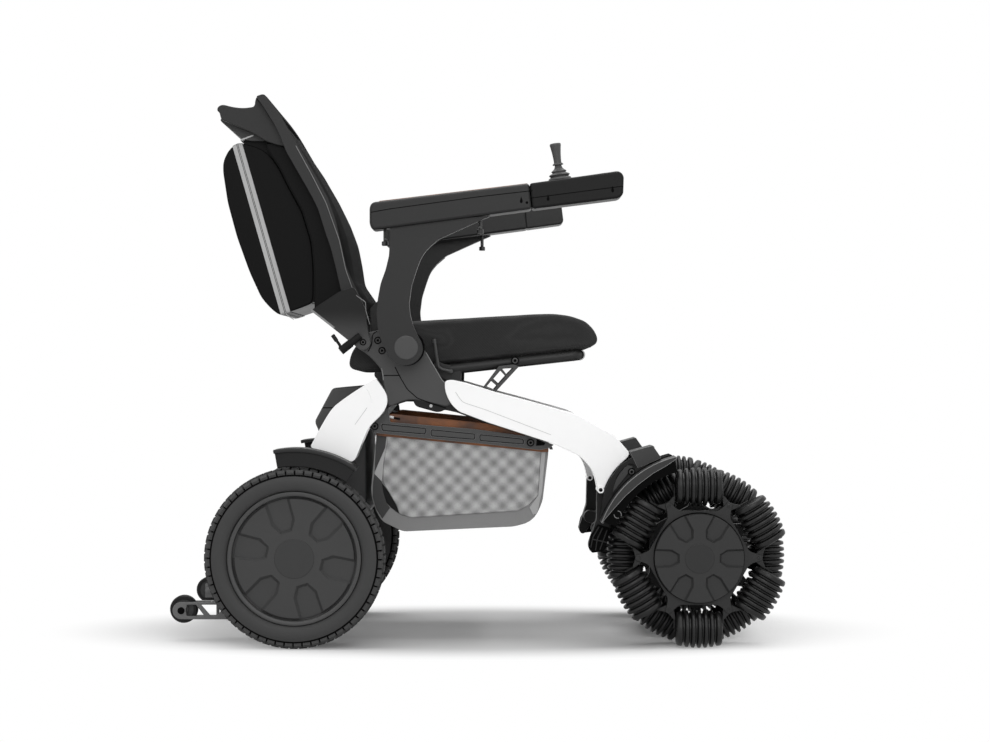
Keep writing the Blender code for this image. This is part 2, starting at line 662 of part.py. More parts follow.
def storage_bag():
    outline = BAG_BACK + BAG_FRONT + BAG_TOP
    wall = BAG_WALL
    inside = (
        [(BAG_BACK[1][0] + 1.2 * wall, PIVOT_Z)] + moved(BAG_BACK[2:6], 1.2 * wall, wall)
        + moved(BAG_BACK[6:], 0, wall) + moved(BAG_FRONT[:2], 0, wall)
        + moved(BAG_FRONT[2:4], -1.2 * wall, wall) + [(BAG_FRONT[3][0] - 1.2 * wall, PIVOT_Z)]
    )
    return cut(plate(outline, -BAG_HALF_WIDTH, BAG_HALF_WIDTH),
               plate(inside, -BAG_HALF_WIDTH + wall, BAG_HALF_WIDTH - wall))


def bag_frame():
    """Two side rails joined by a cross bar in front, each seated under the arms at both ends."""
    back = near(PIVOT, [(-58, -150), (-56, -134), (-54, -128), (-47, -115.9), (-35, -106.9), (-30, -134.3)])
    seat = moved([between(ARM_UNDER[3], ARM_UNDER[2], share) for share in (0.5583, 0.9667)], 0, -GAP)
    front = near(FRONT_MARK, [(-94, 188), (-112, 188)])
    rail = back + seat + front
    tools = [
        plate(near(FRONT_MARK, [(-102, 188.3), (-96, 188.3), (-98, 194), (-102, 194)]),
              -RAIL_OUTER, RAIL_OUTER),
        plate(rail, RAIL_INNER, RAIL_OUTER, LEFT),
    ]
    return union(plate(rail, RAIL_INNER, RAIL_OUTER, RIGHT), *tools)


def footplate():
    """A plate with a hinge barrel that turns on the pin between the hangers."""
    half = FOOTPLATE_THICKNESS / 2
    barrel_reach = HANGER_TRACK - KNUCKLE_HALF - 0.001
    start = FOOT_HINGE[0] + 0.020
    end = FOOT_HINGE[0] + FOOTPLATE_LENGTH
    wide = FOOTPLATE_WIDTH / 2
    corner = 0.030
    outline = [
        (FOOT_HINGE[0] + 0.004, -barrel_reach), (start, -barrel_reach), (start, -wide),
        (end - corner, -wide), (end, corner - wide), (end, wide - corner), (end - corner, wide),
        (start, wide), (start, barrel_reach), (FOOT_HINGE[0] + 0.004, barrel_reach),
    ]
    tread = flat(outline, FOOT_HINGE[1] - half, FOOT_HINGE[1] + half)
    barrel = rod(FOOT_HINGE, HINGE_PIN_RADIUS + 0.004, -barrel_reach, barrel_reach)
    return cut(union(tread, barrel),
               rod(FOOT_HINGE, HINGE_PIN_RADIUS + GAP, -barrel_reach - 0.01, barrel_reach + 0.01, LEFT, 16))


# Seat.
SEAT_TUBE = near(PIVOT, [(76, -37), (306, -12)])


def seat_frame():
    """A tube bent round the front, with feet behind and a ladder-shaped brace on each side."""
    (back_x, back_z), (front_x, front_z) = SEAT_TUBE
    corner = 0.040
    track = SEAT_TUBE_TRACK
    path = [(back_x, -track, back_z)]
    for side, order in ((RIGHT, range(5)), (LEFT, range(4, -1, -1))):
        for i in order:
            angle = math.pi / 2 * i / 4
            x = front_x - corner + corner * math.sin(angle)
            y = side * (track - corner + corner * math.cos(angle))
            path.append((x, y, front_z))
    path.append((back_x, track, back_z))
    bolt = near(PIVOT, [(192, -23)])[0]
    brace = near(PIVOT, [(134, -70.7), (156, -77.6), (160, -68), (202, -26), (196, -16), (184, -16)])
    rungs = [
        near(PIVOT, [(148.5 + 11 * i, -66.5 + 11.5 * i), (153 + 11 * i, -68 + 11.5 * i),
                     (160 + 11 * i, -60.5 + 11.5 * i), (155.5 + 11 * i, -59 + 11.5 * i)])
        for i in range(3)
    ]
    tools = [rod(SEAT_TUBE[0], SEAT_TUBE_RADIUS - 0.0015, -track, track)]
    brace_inner = track + SEAT_TUBE_RADIUS + 0.0005
    for side in (RIGHT, LEFT):
        foot = near(PIVOT, [(64, -54.2), (95, -54.2), (92, -38), (66, -38)])
        tools.append(plate(foot, track - 0.009, track + 0.006, side))
        tools.append(plate(brace, brace_inner, brace_inner + BRACE_THICKNESS, side, rungs))
        tools.append(rod(bolt, 0.005, track, brace_inner + BRACE_THICKNESS + 0.002, side, 12))
    return union(tube(path, SEAT_TUBE_RADIUS), *tools)


def seat_cushion():
    low = near(PIVOT, [(-103, -35), (-96, -42), (-84, -44), (-30, -37), (61, -27.4), (195, -13.4),
                       (280, -4.5), (312, -0.6), (328, 6), (336, 12)])
    high = near(PIVOT, [(-103, -22), (-98, -8), (-86, 12), (-30, 42), (23, 50), (191, 60), (260, 62.5),
                        (299, 57), (324, 42), (338, 22)])
    stations = blended(low, high, 19)
    return pad(stations, 2 * SEAT_HALF_WIDTH, 0.050, around=24)


LEVER_PIVOT = near(PIVOT, [(77, -41)])[0]


def seat_lever():
    track = SEAT_TUBE_TRACK + SEAT_TUBE_RADIUS + 0.0125
    path = [(x, -track, z) for x, z in near(PIVOT, [(48, 15), (55, -37), (77, -41)])]
    hub = rod(LEVER_PIVOT, 0.006, SEAT_TUBE_TRACK + SEAT_TUBE_RADIUS + GAP, track + LEVER_RADIUS, RIGHT, 12)
    return union(tube(path, LEVER_RADIUS, sides=8), hub)


# Backrest.
BACK_LINE = near(PIVOT, [(-73, 68), (-94, 108), (-111, 144), (-120, 183), (-130, 229), (-144, 269),
                         (-163, 305), (-190, 351), (-231, 419), (-260, 455)])
BACK_SEAM = near(PIVOT, [(-275, 452), (-275, 435), (-231, 358), (-196, 322), (-170, 276), (-150, 223),
                         (-140, 183), (-130, 144), (-120, 100)])
BAG_SEAT = near(PIVOT, [(-171, 66), (-173, 146), (-177, 193), (-194, 249), (-224, 304), (-236, 330),
                        (-259, 361)])
BACK_HUMP = BAG_SEAT[::-1] + near(PIVOT, [
    (-130, 34), (-116, 60), (-112, 100), (-126, 144), (-136, 183), (-146, 223), (-165, 276),
    (-191, 322), (-225, 368), (-258, 377),
])
BACK_FRONT = near(PIVOT, [(-72, 86), (-100, 128), (-105, 162), (-113, 202), (-128, 243), (-149, 286),
                          (-177, 335), (-205, 376.5), (-229, 415)])
HANDLE = near(PIVOT, [(-262, 440), (-275, 435), (-285, 432), (-322, 432), (-335, 437), (-344, 434),
                      (-342, 424), (-334, 413), (-302, 394), (-275, 378), (-242, 365), (-225, 366)])


def back_frame():
    """The back shell, its rear hump, the push handle with its slot, and the two hinge lobes."""
    wide = SEAT_HALF_WIDTH - 0.003
    pad_reach = SEAT_HALF_WIDTH - BACK_PAD_MARGIN
    shell = plate(BACK_LINE + BACK_SEAM, -wide, wide)
    hinge = near(PIVOT, [BACK_PIVOT])[0]
    lobe = near(PIVOT, [(-171, 66), (-130, 34), (-95, 6)]) + arc(hinge, 0.014, 225, 400, 8) + near(
        PIVOT, [(-72, 50), (-73, 68), (-94, 108), (-120, 100)])
    tools = [
        plate(BACK_HUMP, -wide + 0.030, wide - 0.030),
        plate(near(PIVOT, [(-150, 66), (-128, 48), (-86, 66), (-104, 104)]),
              -LOBE_OUTER + 0.001, LOBE_OUTER - 0.001),
        plate(HANDLE, -wide + 0.020, wide - 0.020),
    ]
    tools += [plate(lobe, LOBE_INNER, LOBE_OUTER, side) for side in (RIGHT, LEFT)]
    bores = [rod(hinge, 0.006 + GAP, LOBE_INNER - 0.01, LOBE_OUTER - 0.0025, side, 12)
             for side in (RIGHT, LEFT)]
    line = BACK_LINE[:-2] + moved(BACK_LINE[-2:-1], -0.0006, 0.0008)
    tray = line + moved(line[::-1], 0.060, 0.030)
    tray = moved(tray, -PAD_TRAY_DEPTH * 0.88, -PAD_TRAY_DEPTH * 0.45)
    pocket = plate(tray, -pad_reach, pad_reach)
    slot = box((PIVOT_X - 0.318, PIVOT_X - 0.284), (-GRIP_SLOT_WIDTH / 2, GRIP_SLOT_WIDTH / 2),
               (PIVOT_Z + 0.350, PIVOT_Z + 0.450))
    return cut(union(shell, *tools), pocket, slot, *bores)


def back_cushion():
    width = 2 * (SEAT_HALF_WIDTH - BACK_PAD_MARGIN - GAP)
    low = moved(BACK_LINE[:-1], GAP - PAD_TRAY_DEPTH * 0.88, GAP - PAD_TRAY_DEPTH * 0.45)
    stations = blended(low, BACK_FRONT, 17)
    return pad(stations, width, 0.055, flatness=2.4, around=24)


def back_bag():
    """A hard-shelled bag behind the backrest."""
    rear = near(PIVOT, [(-323, 370), (-338, 346), (-340, 326), (-331, 266), (-314, 203), (-291, 139),
                        (-268, 89), (-241, 56), (-231, 53)])
    bottom = near(PIVOT, [(-182, 66), (-174, 80)])
    front = moved(BAG_SEAT[1:], -1.3 * GAP, 0)
    top = near(PIVOT, [(-301, 375)])
    return plate(rear + bottom + front + top, -BACK_BAG_WIDTH / 2, BACK_BAG_WIDTH / 2)


def back_lock_pin():
    barrel = near(PIVOT, [(-116, -5), (-82, 22)])
    handle = near(PIVOT, [(-118, 4), (-131, 22)])
    track = -LOCK_PIN_TRACK
    body = tube([(x, track, z) for x, z in barrel], LOCK_PIN_RADIUS, sides=12)
    return union(body, tube([(x, track, z) for x, z in (barrel[0], *handle)], 0.003, sides=8))


# Armrests.
POST_BACK = near(PIVOT, [(-41, 33), (-50, 33), (-52, 58), (-50, 84), (-45, 112), (-36, 137), (-30, 162),
                         (-28, 216)])
POST_FRONT = near(PIVOT, [(150, 232), (118, 218), (87, 204), (56, 190), (38, 174), (26, 158), (18, 136),
                          (9, 107), (5, 75), (8, 52), (14, 33), (26, 11)])
REST_BODY = near(PIVOT, [(-64, 216), (-59, 206), (221, 243), (216, 288), (-59, 255), (-64, 247)])
END_BOX = near(PIVOT, [(218, 243), (283, 252), (288, 258), (284, 290), (276, 297), (214, 288)])
KNOBS = near(PIVOT, [(-38, 192), (130, 213)])


def armrest(side):
    """The bent post on its pivot, the arm body on top, and two clamp knobs under it."""
    post = POST_BACK + POST_FRONT + arc(PIVOT, 0.030, 10, -200, 14)
    tools = [plate(REST_BODY, ARMREST_INNER, ARMREST_OUTER, side)]
    for x, z in KNOBS:
        knob = box((x - 0.005, x + 0.005), sorted((side * (POST_INNER - 0.006), side * (POST_INNER + 0.004))),
                   (z - 0.008, z + 0.028))
        tools.append(knob)
    if side == LEFT:
        tools.append(plate(END_BOX, ARMREST_INNER, ARMREST_OUTER, side))
    body = union(plate(post, POST_INNER, POST_OUTER, side), *tools)
    return cut(body, rod(PIVOT, ARM_PIN_RADIUS + GAP, POST_INNER - 0.01, POST_INNER + 0.0135, side))


CONTROLLER = near(PIVOT, [(221.3, 243), (374, 262), (381, 269), (382, 302), (374, 310), (216.3, 288)])
STICK_BASE = near(PIVOT, [(271, 295.6)])[0]
STICK_Y = -(ARMREST_INNER + ARMREST_OUTER) / 2
BUTTONS = [near(PIVOT, [(345 + i * BUTTON_PITCH / MM, 0)])[0][0] for i in (0, 1)]


def lid_height(x):
    """Height of the controller's sloping lid."""
    (x0, z0), (x1, z1) = CONTROLLER[5], CONTROLLER[4]
    return z0 + (x - x0) * (z1 - z0) / (x1 - x0)


def tilted(mesh, x, z):
    """Stands a mesh made about the origin upright on the sloping lid."""
    turn = Matrix.Rotation(-math.radians(JOYSTICK_TILT), 4, "Y")
    bmesh.ops.transform(mesh, matrix=Matrix.Translation((x, STICK_Y, z)) @ turn, verts=mesh.verts)
    return mesh


def upright(profile, segments):
    """A profile of (radius, height) turned about a vertical axis."""
    mesh = turned(profile, (0, 0), segments=segments)
    bmesh.ops.rotate(mesh, verts=mesh.verts, cent=(0, 0, 0), matrix=Matrix.Rotation(math.pi / 2, 3, "X"))
    return finish(mesh)


def button_block(grow, low, high):
    half_x = BUTTON_LENGTH / 2 + grow
    half_y = BUTTON_WIDTH / 2 + grow
    return box((-half_x, half_x), (-half_y, half_y), (low, high))


def controller_box():
    body = plate(CONTROLLER, ARMREST_INNER, ARMREST_OUTER, RIGHT)
    wide = BOOT_RADIUS + 0.001
    floor = -GIMBAL_RADIUS - GAP
    well = upright([(0, floor), (0.006, floor), (0.006, floor - 0.0025), (wide, floor - 0.0025),
                    (wide, 0.010), (0, 0.010)], 24)
    tools = [tilted(well, *STICK_BASE)]
    floor = BUTTON_PROUD - BUTTON_HEIGHT - 0.0013
    tools += [tilted(button_block(GAP, floor, 0.010), x, lid_height(x)) for x in BUTTONS]
    return cut(body, *tools)


def joystick_gimbal():
    """A bowl between the stick's ball and the floor of its well, round the same centre."""
    angles = [GIMBAL_REACH * share for share in (0, 0.5, 1)]
    outer = [(GIMBAL_RADIUS * math.sin(a), -GIMBAL_RADIUS * math.cos(a)) for a in angles]
    inner = [(BALL_SEAT * math.sin(a), -BALL_SEAT * math.cos(a)) for a in reversed(angles)]
    return upright(outer + inner, 16)


def joystick():
    """A folded gaiter that stays inside a ball about the stick's pivot, a neck and a flared knob."""
    wide = BOOT_RADIUS
    ball = BALL_SEAT - GAP
    bottom = [(ball * math.sin(a), -ball * math.cos(a)) for a in (0, 0.3, 0.6, 0.85)]
    skirt = [(wide - 0.0006, bottom[-1][1]), (wide, 0.001)]
    folds = [(0.016, 0.006), (0.0185, 0.0095), (0.012, 0.0135), (0.0135, 0.0160),
             (0.009, 0.0195), (0.006, BOOT_HEIGHT)]
    low = BOOT_HEIGHT + 0.001
    knob = [(0.006, low), (0.0095, low), (0.0095, low + 0.0018), (0.0070, low + 0.0030),
            (0.0070, low + 0.008), (0.0095, JOYSTICK_HEIGHT - 0.006),
            (0.0100, JOYSTICK_HEIGHT - 0.003), (0.0085, JOYSTICK_HEIGHT), (0, JOYSTICK_HEIGHT)]
    return upright(bottom + skirt + folds + knob, 14)


def build():
    satin_black = material("satin_black", (0.040, 0.040, 0.042), 0.45)
    cast_grey = material("cast_grey", (0.075, 0.075, 0.078), 0.38, 0.6)
    rubber = material("rubber", (0.028, 0.028, 0.029), 0.75)
    gloss_white = material("gloss_white", (0.86, 0.86, 0.86), 0.12)
    fabric_black = material("fabric_black", (0.032, 0.032, 0.033), 0.85)
    bag_cloth = material("bag_cloth", (0.22, 0.22, 0.225), 0.8)
    bag_shell = material("bag_shell", (0.018, 0.018, 0.018), 0.3)

    rear = (REAR_AXLE[0], 0, REAR_AXLE[1])
    front = (FRONT_AXLE[0], 0, FRONT_AXLE[1])
    pivot = (PIVOT_X, 0, PIVOT_Z)
    hinge = near(PIVOT, [BACK_PIVOT])[0]
    hinge_origin = (hinge[0], 0, hinge[1])

    place("chassis_frame", chassis_frame(), cast_grey)
    place("battery_box", battery_box(), satin_black)
    place("anti_tip_frame", anti_tip_frame(), cast_grey)
    place("bag_frame", bag_frame(), cast_grey)
    place("storage_bag", storage_bag(), bag_cloth)
    place("seat_frame", seat_frame(), satin_black)
    place("seat_cushion", seat_cushion(), fabric_black)
    place("seat_lever", seat_lever(), satin_black, (LEVER_PIVOT[0], 0, LEVER_PIVOT[1]))
    place("back_frame", back_frame(), satin_black, hinge_origin)
    place("back_cushion", back_cushion(), fabric_black, hinge_origin)
    place("back_bag", back_bag(), bag_shell, hinge_origin)
    place("back_lock_pin", back_lock_pin(), satin_black, hinge_origin)
    place("footplate", footplate(), satin_black, (FOOT_HINGE[0], 0, FOOT_HINGE[1]))

    stick = (STICK_BASE[0], STICK_Y, STICK_BASE[1])
    place("controller_box", controller_box(), satin_black, pivot)
    place("joystick_gimbal", tilted(joystick_gimbal(), *STICK_BASE), satin_black, stick)
    place("joystick", tilted(joystick(), *STICK_BASE), rubber, stick)
    low, high = BUTTON_PROUD - BUTTON_HEIGHT, BUTTON_PROUD
    for name, x in zip(("horn_button", "power_button"), BUTTONS):
        middle = (x, STICK_Y, lid_height(x))
        place(name, tilted(button_block(0, low, high), x, lid_height(x)), rubber, middle)

    for label, side in SIDES:
        place(f"armrest_{label}", armrest(side), satin_black, pivot)
        place(f"front_cover_{label}", front_cover(side), gloss_white)
        place(f"rear_cover_{label}", rear_cover(side), gloss_white)
        place(f"front_fender_{label}", front_fender(side), satin_black)
        place(f"rear_fender_{label}", rear_fender(side), satin_black)
        place(f"rear_tyre_{label}", rear_tyre(side), rubber, rear)
        place(f"rear_hub_{label}", rear_hub(side), cast_grey, rear)
        wheel_place = (ANTI_TIP_AXLE[0], 0, ANTI_TIP_AXLE[1])
        place(f"anti_tip_wheel_{label}", anti_tip_wheel(side), rubber, wheel_place)
        place(f"front_hub_{label}", front_hub(side), cast_grey, front)
        for row_name, row, turn in ROWS:
            for number in range(ROLLER_COUNT):
                mesh, middle = roller(side, row, turn, number)
                place(f"roller_{label}_{row_name}_{number + 1}", mesh, rubber, middle)


for old in list(bpy.data.objects):
    bpy.data.objects.remove(old)
chair = bpy.data.objects.new("chair_frame", None)
chair.location = (-MIDDLE_X, 0, 0)
bpy.context.scene.collection.objects.link(chair)
build()
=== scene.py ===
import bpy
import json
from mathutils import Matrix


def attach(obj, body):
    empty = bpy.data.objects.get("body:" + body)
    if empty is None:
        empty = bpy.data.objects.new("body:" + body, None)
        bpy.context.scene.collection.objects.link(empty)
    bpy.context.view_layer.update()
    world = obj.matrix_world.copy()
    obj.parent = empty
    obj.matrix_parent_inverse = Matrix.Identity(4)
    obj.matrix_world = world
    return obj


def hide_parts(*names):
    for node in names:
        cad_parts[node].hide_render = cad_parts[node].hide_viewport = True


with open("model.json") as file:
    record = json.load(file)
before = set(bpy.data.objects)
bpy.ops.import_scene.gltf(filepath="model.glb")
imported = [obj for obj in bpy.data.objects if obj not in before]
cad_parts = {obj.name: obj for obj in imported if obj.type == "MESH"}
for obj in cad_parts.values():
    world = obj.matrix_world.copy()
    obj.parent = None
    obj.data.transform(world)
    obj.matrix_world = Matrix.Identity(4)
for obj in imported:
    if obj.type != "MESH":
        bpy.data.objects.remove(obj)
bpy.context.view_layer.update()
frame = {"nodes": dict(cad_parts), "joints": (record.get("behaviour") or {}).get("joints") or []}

import json
from math import asin, atan2, cos, degrees, hypot, pi, radians, sin, sqrt

import bpy
import bmesh
from bmesh import ops
from mathutils import Matrix, Vector

scene = bpy.context.scene
sides = {"Right": -1, "Left": 1}
places = {item["name"]: item["pos_m"] for item in frame["joints"] if "pos_m" in item}


def sideView(name):
    x, _, z = places[name]
    return (x, z)


rearAxle = sideView("right_rear_wheel_spin")
frontAxle = sideView("right_front_wheel_spin")
pivot = sideView("right_armrest_hinge")
backHinge = sideView("backrest_hinge")
tipAxle = sideView("right_anti_tip_spin")
footHinge = sideView("footplate_hinge")
frontMark = (frontAxle[0] - frontAxle[1], frontAxle[1])


# Outlines are side views in metres, made from millimetres about an anchor.
def near(anchor, points):
    return [(anchor[0] + x / 1000, anchor[1] + z / 1000) for x, z in points]


def spotBy(anchor, x, z):
    return near(anchor, [(x, z)])[0]


def moved(points, along, up):
    return [(x + along / 1000, z + up / 1000) for x, z in points]


def arc(centre, radius, start, end, steps):
    angles = [radians(start + (end - start) * i / steps) for i in range(steps + 1)]
    return [(centre[0] + radius * cos(a) / 1000, centre[1] + radius * sin(a) / 1000) for a in angles]


def radial(centre, points, angle):
    along, up = cos(radians(angle)), sin(radians(angle))
    return near(centre, [(u * along - v * up, u * up + v * along) for u, v in points])


def at(points, across):
    return [(x, across / 1000, z) for x, z in points]


def spaced(points, reach, closed=True):
    # Extra points near the ends of long edges keep the corners tight.
    result = []
    for i in range(len(points) if closed else len(points) - 1):
        first, second = Vector(points[i]), Vector(points[(i + 1) % len(points)])
        length = (second - first).length
        result.append(tuple(first))
        if length > 0.0025 * reach:
            step = (second - first) * (reach / 1000 / length)
            result += [tuple(first + step), tuple(second - step)]
    return result if closed else result + [tuple(points[-1])]


def picked(geom, kind):
    return [item for item in geom if isinstance(item, kind)]


def tidy(bm, merge=1e-6):
    ops.remove_doubles(bm, verts=bm.verts, dist=merge)
    ops.recalc_face_normals(bm, faces=bm.faces)
    return bm


def polygon(bm, points):
    return bm.faces.new([bm.verts.new(point) for point in points])


def rounded(bm, share, segments):
    ops.bevel(bm, geom=list(bm.verts), offset=share, offset_type="PERCENT", segments=segments,
              profile=0.5, affect="VERTICES")


def raised(bm, faces, shift):
    grown = ops.extrude_face_region(bm, geom=faces)["geom"]
    ops.translate(bm, verts=picked(grown, bmesh.types.BMVert), vec=shift)


def panel(outline, inner, outer, side=1, corner=0, holes=()):
    bm = bmesh.new()
    across = side * inner
    polygon(bm, at(spaced(outline, corner) if corner else outline, across))
    if corner:
        rounded(bm, 45, 3)
    faces = list(bm.faces)
    if holes:
        ops.delete(bm, geom=faces, context="FACES_ONLY")
        for loop in holes:
            verts = [bm.verts.new(point) for point in at(loop, across)]
            for pair in zip(verts, verts[1:] + verts[:1]):
                bm.edges.new(pair)
        filled = ops.triangle_fill(bm, edges=list(bm.edges), use_beauty=True)
        faces = picked(filled["geom"], bmesh.types.BMFace)
    raised(bm, faces, (0, side * (outer - inner) / 1000, 0))
    return tidy(bm)


def eased(bm, width, segments=2, over=35, mark=-1):
    tidy(bm)
    edges = [edge for edge in bm.edges if edge.calc_face_angle(0) > radians(over)]
    ops.bevel(bm, geom=edges, offset=width / 1000, offset_type="OFFSET", segments=segments,
              profile=0.5, affect="EDGES", material=mark, clamp_overlap=True)
    return bm


def turned(profile, centre, side=1, steps=64):
    bm = bmesh.new()
    verts = [bm.verts.new((radius / 1000, side * out / 1000, 0)) for radius, out in profile]
    pairs = list(zip(verts, verts[1:]))
    if profile[0][0] > 0:
        pairs.append((verts[-1], verts[0]))
    edges = [bm.edges.new(pair) for pair in pairs]
    ops.spin(bm, geom=verts + edges, axis=(0, 1, 0), cent=(0, 0, 0), angle=2 * pi, steps=steps,
             use_merge=True)
    ops.translate(bm, verts=bm.verts, vec=(centre[0], 0, centre[1]))
    return tidy(bm)


def rod(centre, radius, inner, outer, side=1, steps=32, ease=0.6):
    profile = [(0, inner), (radius - ease, inner), (radius, inner + ease), (radius, outer - ease),
               (radius - ease, outer), (0, outer)]
    return turned(profile, centre, side, steps)


def bolt(centre, radius, base, top, side, steps=28):
    # A socket head: a rounded rim round a dark well.
    profile = [(0, base), (radius, base), (radius, top - 0.7), (radius - 0.7, top),
               (radius * 0.58, top), (radius * 0.5, top - 0.4), (radius * 0.5, top - 2.2),
               (0, top - 2.2)]
    return turned(profile, centre, side, steps)


def swept(section, centre, start, end, side, steps=36):
    bm = bmesh.new()
    along, up = cos(radians(start)), sin(radians(start))
    face = polygon(bm, [(r * along / 1000, side * out / 1000, r * up / 1000) for r, out in section])
    ops.spin(bm, geom=[face], axis=(0, -1, 0), cent=(0, 0, 0), angle=radians(end - start), steps=steps)
    ops.translate(bm, verts=bm.verts, vec=(centre[0], 0, centre[1]))
    return tidy(bm)


def block(low, high, ease=0):
    bm = bmesh.new()
    ops.create_cube(bm, size=1)
    ops.scale(bm, verts=bm.verts, vec=[(b - a) for a, b in zip(low, high)])
    ops.translate(bm, verts=bm.verts, vec=[(a + b) / 2 for a, b in zip(low, high)])
    return eased(bm, ease) if ease else tidy(bm)


def frustum(upper, lower, top, floor, side):
    # A recess tool: a wide outline at the top drawn in to a narrow one at the floor.
    bm = bmesh.new()
    rings = []
    for outline, across in ((upper, top), (lower, floor)):
        rings += polygon(bm, at(outline, side * across)).edges
    ops.bridge_loops(bm, edges=rings)
    return tidy(bm)


def placed(name, data):
    made = bpy.data.objects.new(name, data)
    scene.collection.objects.link(made)
    return made


def meshOf(name, bm):
    data = bpy.data.meshes.new(name)
    bm.to_mesh(data)
    bm.free()
    return data


def fromObject(holder):
    bm = bmesh.new()
    graph = bpy.context.evaluated_depsgraph_get()
    data = bpy.data.meshes.new_from_object(holder.evaluated_get(graph))
    bm.from_mesh(data)
    bpy.data.meshes.remove(data)
    return bm


def pipe(points, radius, sides=16, corner=0):
    curve = bpy.data.curves.new("path", "CURVE")
    curve.dimensions = "3D"
    curve.bevel_depth = radius / 1000
    curve.bevel_resolution = sides // 2 - 2
    curve.use_fill_caps = True
    if corner:
        points = spaced(points, corner, closed=False)
    spline = curve.splines.new("NURBS" if corner else "POLY")
    spline.points.add(len(points) - 1)
    for item, place in zip(spline.points, points):
        item.co = (*place, 1)
    spline.order_u = 3
    spline.use_endpoint_u = True
    spline.resolution_u = 5
    holder = placed("path", curve)
    bpy.context.view_layer.update()
    bm = fromObject(holder)
    bpy.data.objects.remove(holder)
    return tidy(bm)


def joined(*parts):
    bm = bmesh.new()
    for part in parts:
        data = meshOf("part", part)
        bm.from_mesh(data)
        bpy.data.meshes.remove(data)
    return bm


def carved(bm, *cutters):
    holders = [placed("tool", meshOf("tool", tidy(shape))) for shape in (bm, joined(*cutters))]
    modifier = holders[0].modifiers.new("carve", "BOOLEAN")
    modifier.solver = "EXACT"
    modifier.object = holders[1]
    bpy.context.view_layer.update()
    result = fromObject(holders[0])
    for holder in holders:
        data = holder.data
        bpy.data.objects.remove(holder)
        bpy.data.meshes.remove(data)
    ops.remove_doubles(result, verts=result.verts, dist=2e-5)
    ops.dissolve_limit(result, angle_limit=radians(0.5), verts=result.verts, edges=result.edges)
    return result


def copied(node):
    bm = bmesh.new()
    bm.from_mesh(frame["nodes"][node].data)
    ops.remove_doubles(bm, verts=bm.verts, dist=1e-5)
    ops.dissolve_limit(bm, angle_limit=radians(0.5), verts=bm.verts, edges=bm.edges)
    return tidy(bm)


def tinted(bm, index):
    for face in bm.faces:
        face.material_index = index
    return bm


def piece(name, bm, finish, body, replaced=(), slot="satin_black", smooth=35, weighted=True):
    data = meshOf(name, tidy(bm))
    for item in finish:
        data.materials.append(looks[item])
    data.shade_smooth()
    data.set_sharp_from_angle(angle=radians(smooth))
    made = placed(name, data)
    if weighted:
        modifier = made.modifiers.new("shading", "WEIGHTED_NORMAL")
        modifier.weight = 100
        modifier.keep_sharp = True
    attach(made, body)
    if replaced:
        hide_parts(*replaced)
    return made


class Kit:
    # Gathers the shapes of one piece with their looks. Outlines are millimetres about its anchor.
    def __init__(self, anchor, side=1):
        self.anchor = anchor
        self.side = side
        self.parts = []
        self.finish = []

    def index(self, look):
        if look not in self.finish:
            self.finish.append(look)
        return self.finish.index(look)

    def put(self, look, *shapes):
        self.parts += [tinted(shape, self.index(look)) for shape in shapes]

    def plate(self, look, outline, low, high, ease, segments=2, corner=0):
        self.put(look, eased(panel(outline, low, high, self.side, corner), ease, segments))

    def slab(self, look, outline, *measures):
        self.plate(look, near(self.anchor, outline), *measures)

    def cord(self, look, line, across, radius, sides=8, corner=8):
        self.put(look, pipe(at(near(self.anchor, line), self.side * across), radius, sides, corner))

    def rod(self, look, spot, radius, low, high, steps=32, ease=0.6):
        self.put(look, rod(spotBy(self.anchor, *spot), radius, low, high, self.side, steps, ease))

    def edged(self, look, edge, shape, ease, segments=2, over=60):
        # The bevels take a second, paler look: a painted highlight along the edge.
        index, mark = self.index(look), self.index(edge)
        self.parts.append(eased(tinted(shape, index), ease, segments, over, mark))

    def screw(self, spot, radius, face, dark, light):
        # A screw head in a dark ring, with a dark socket: painted shade for the recess round the head and
        # for the well of the socket.
        def shape(profile, steps=32):
            return turned([(radius * r, face + out) for r, out in profile], centre, self.side, steps)

        centre = spotBy(self.anchor, *spot)
        ring = shape([(0.68, -1.5), (1, -1.5), (1, 0.4), (0.68, 0.4)])
        head = shape([(0, -1.5), (0.68, -1.5), (0.68, 0.7), (0.6, 1.1), (0.4, 1.1), (0.35, 0), (0, 0)])
        socket = rod(centre, radius * 0.34, face - 1, face + 0.4, self.side, 16, 0.1)
        self.put(dark, ring, socket)
        self.put(light, head)

    def make(self, name, body, *rest, **options):
        return piece(name, joined(*self.parts), self.finish, body, *rest, **options)


# Materials.
class Wire:
    def __init__(self, tree, socket):
        self.tree = tree
        self.socket = socket

    def node(self, kind, settings, values, output=0):
        made = self.tree.nodes.new("ShaderNode" + kind)
        for name, value in settings.items():
            setattr(made, name, value)
        for key, value in values.items():
            if isinstance(value, Wire):
                self.tree.links.new(value.socket, made.inputs[key])
            else:
                made.inputs[key].default_value = value
        return Wire(self.tree, made.outputs[output])

    def calc(self, operation, *values):
        return self.node("Math", {"operation": operation}, dict(enumerate(values)))

    def __add__(self, other):
        return self.calc("ADD", self, other)

    def __mul__(self, other):
        return self.calc("MULTIPLY", self, other)

    __radd__ = __add__
    __rmul__ = __mul__

    def noise(self, scale, detail=2.0):
        return self.node("TexNoise", {}, {"Vector": self, "Scale": scale, "Detail": detail})

    def span(self, low, high, start=0.0, end=1.0):
        return self.node("MapRange", {"interpolation_type": "SMOOTHSTEP"},
                         {"Value": self, 1: low, 2: high, 3: start, 4: end})

    def blend(self, first, second):
        return self.node("Mix", {"data_type": "RGBA"}, {0: self, 6: first, 7: second}, 2)

    def relief(self, strength, distance):
        return self.node("Bump", {}, {"Strength": strength, "Distance": distance, "Height": self})


def linear(level):
    share = level / 255
    return share / 12.92 if share < 0.04045 else ((share + 0.055) / 1.055) ** 2.4


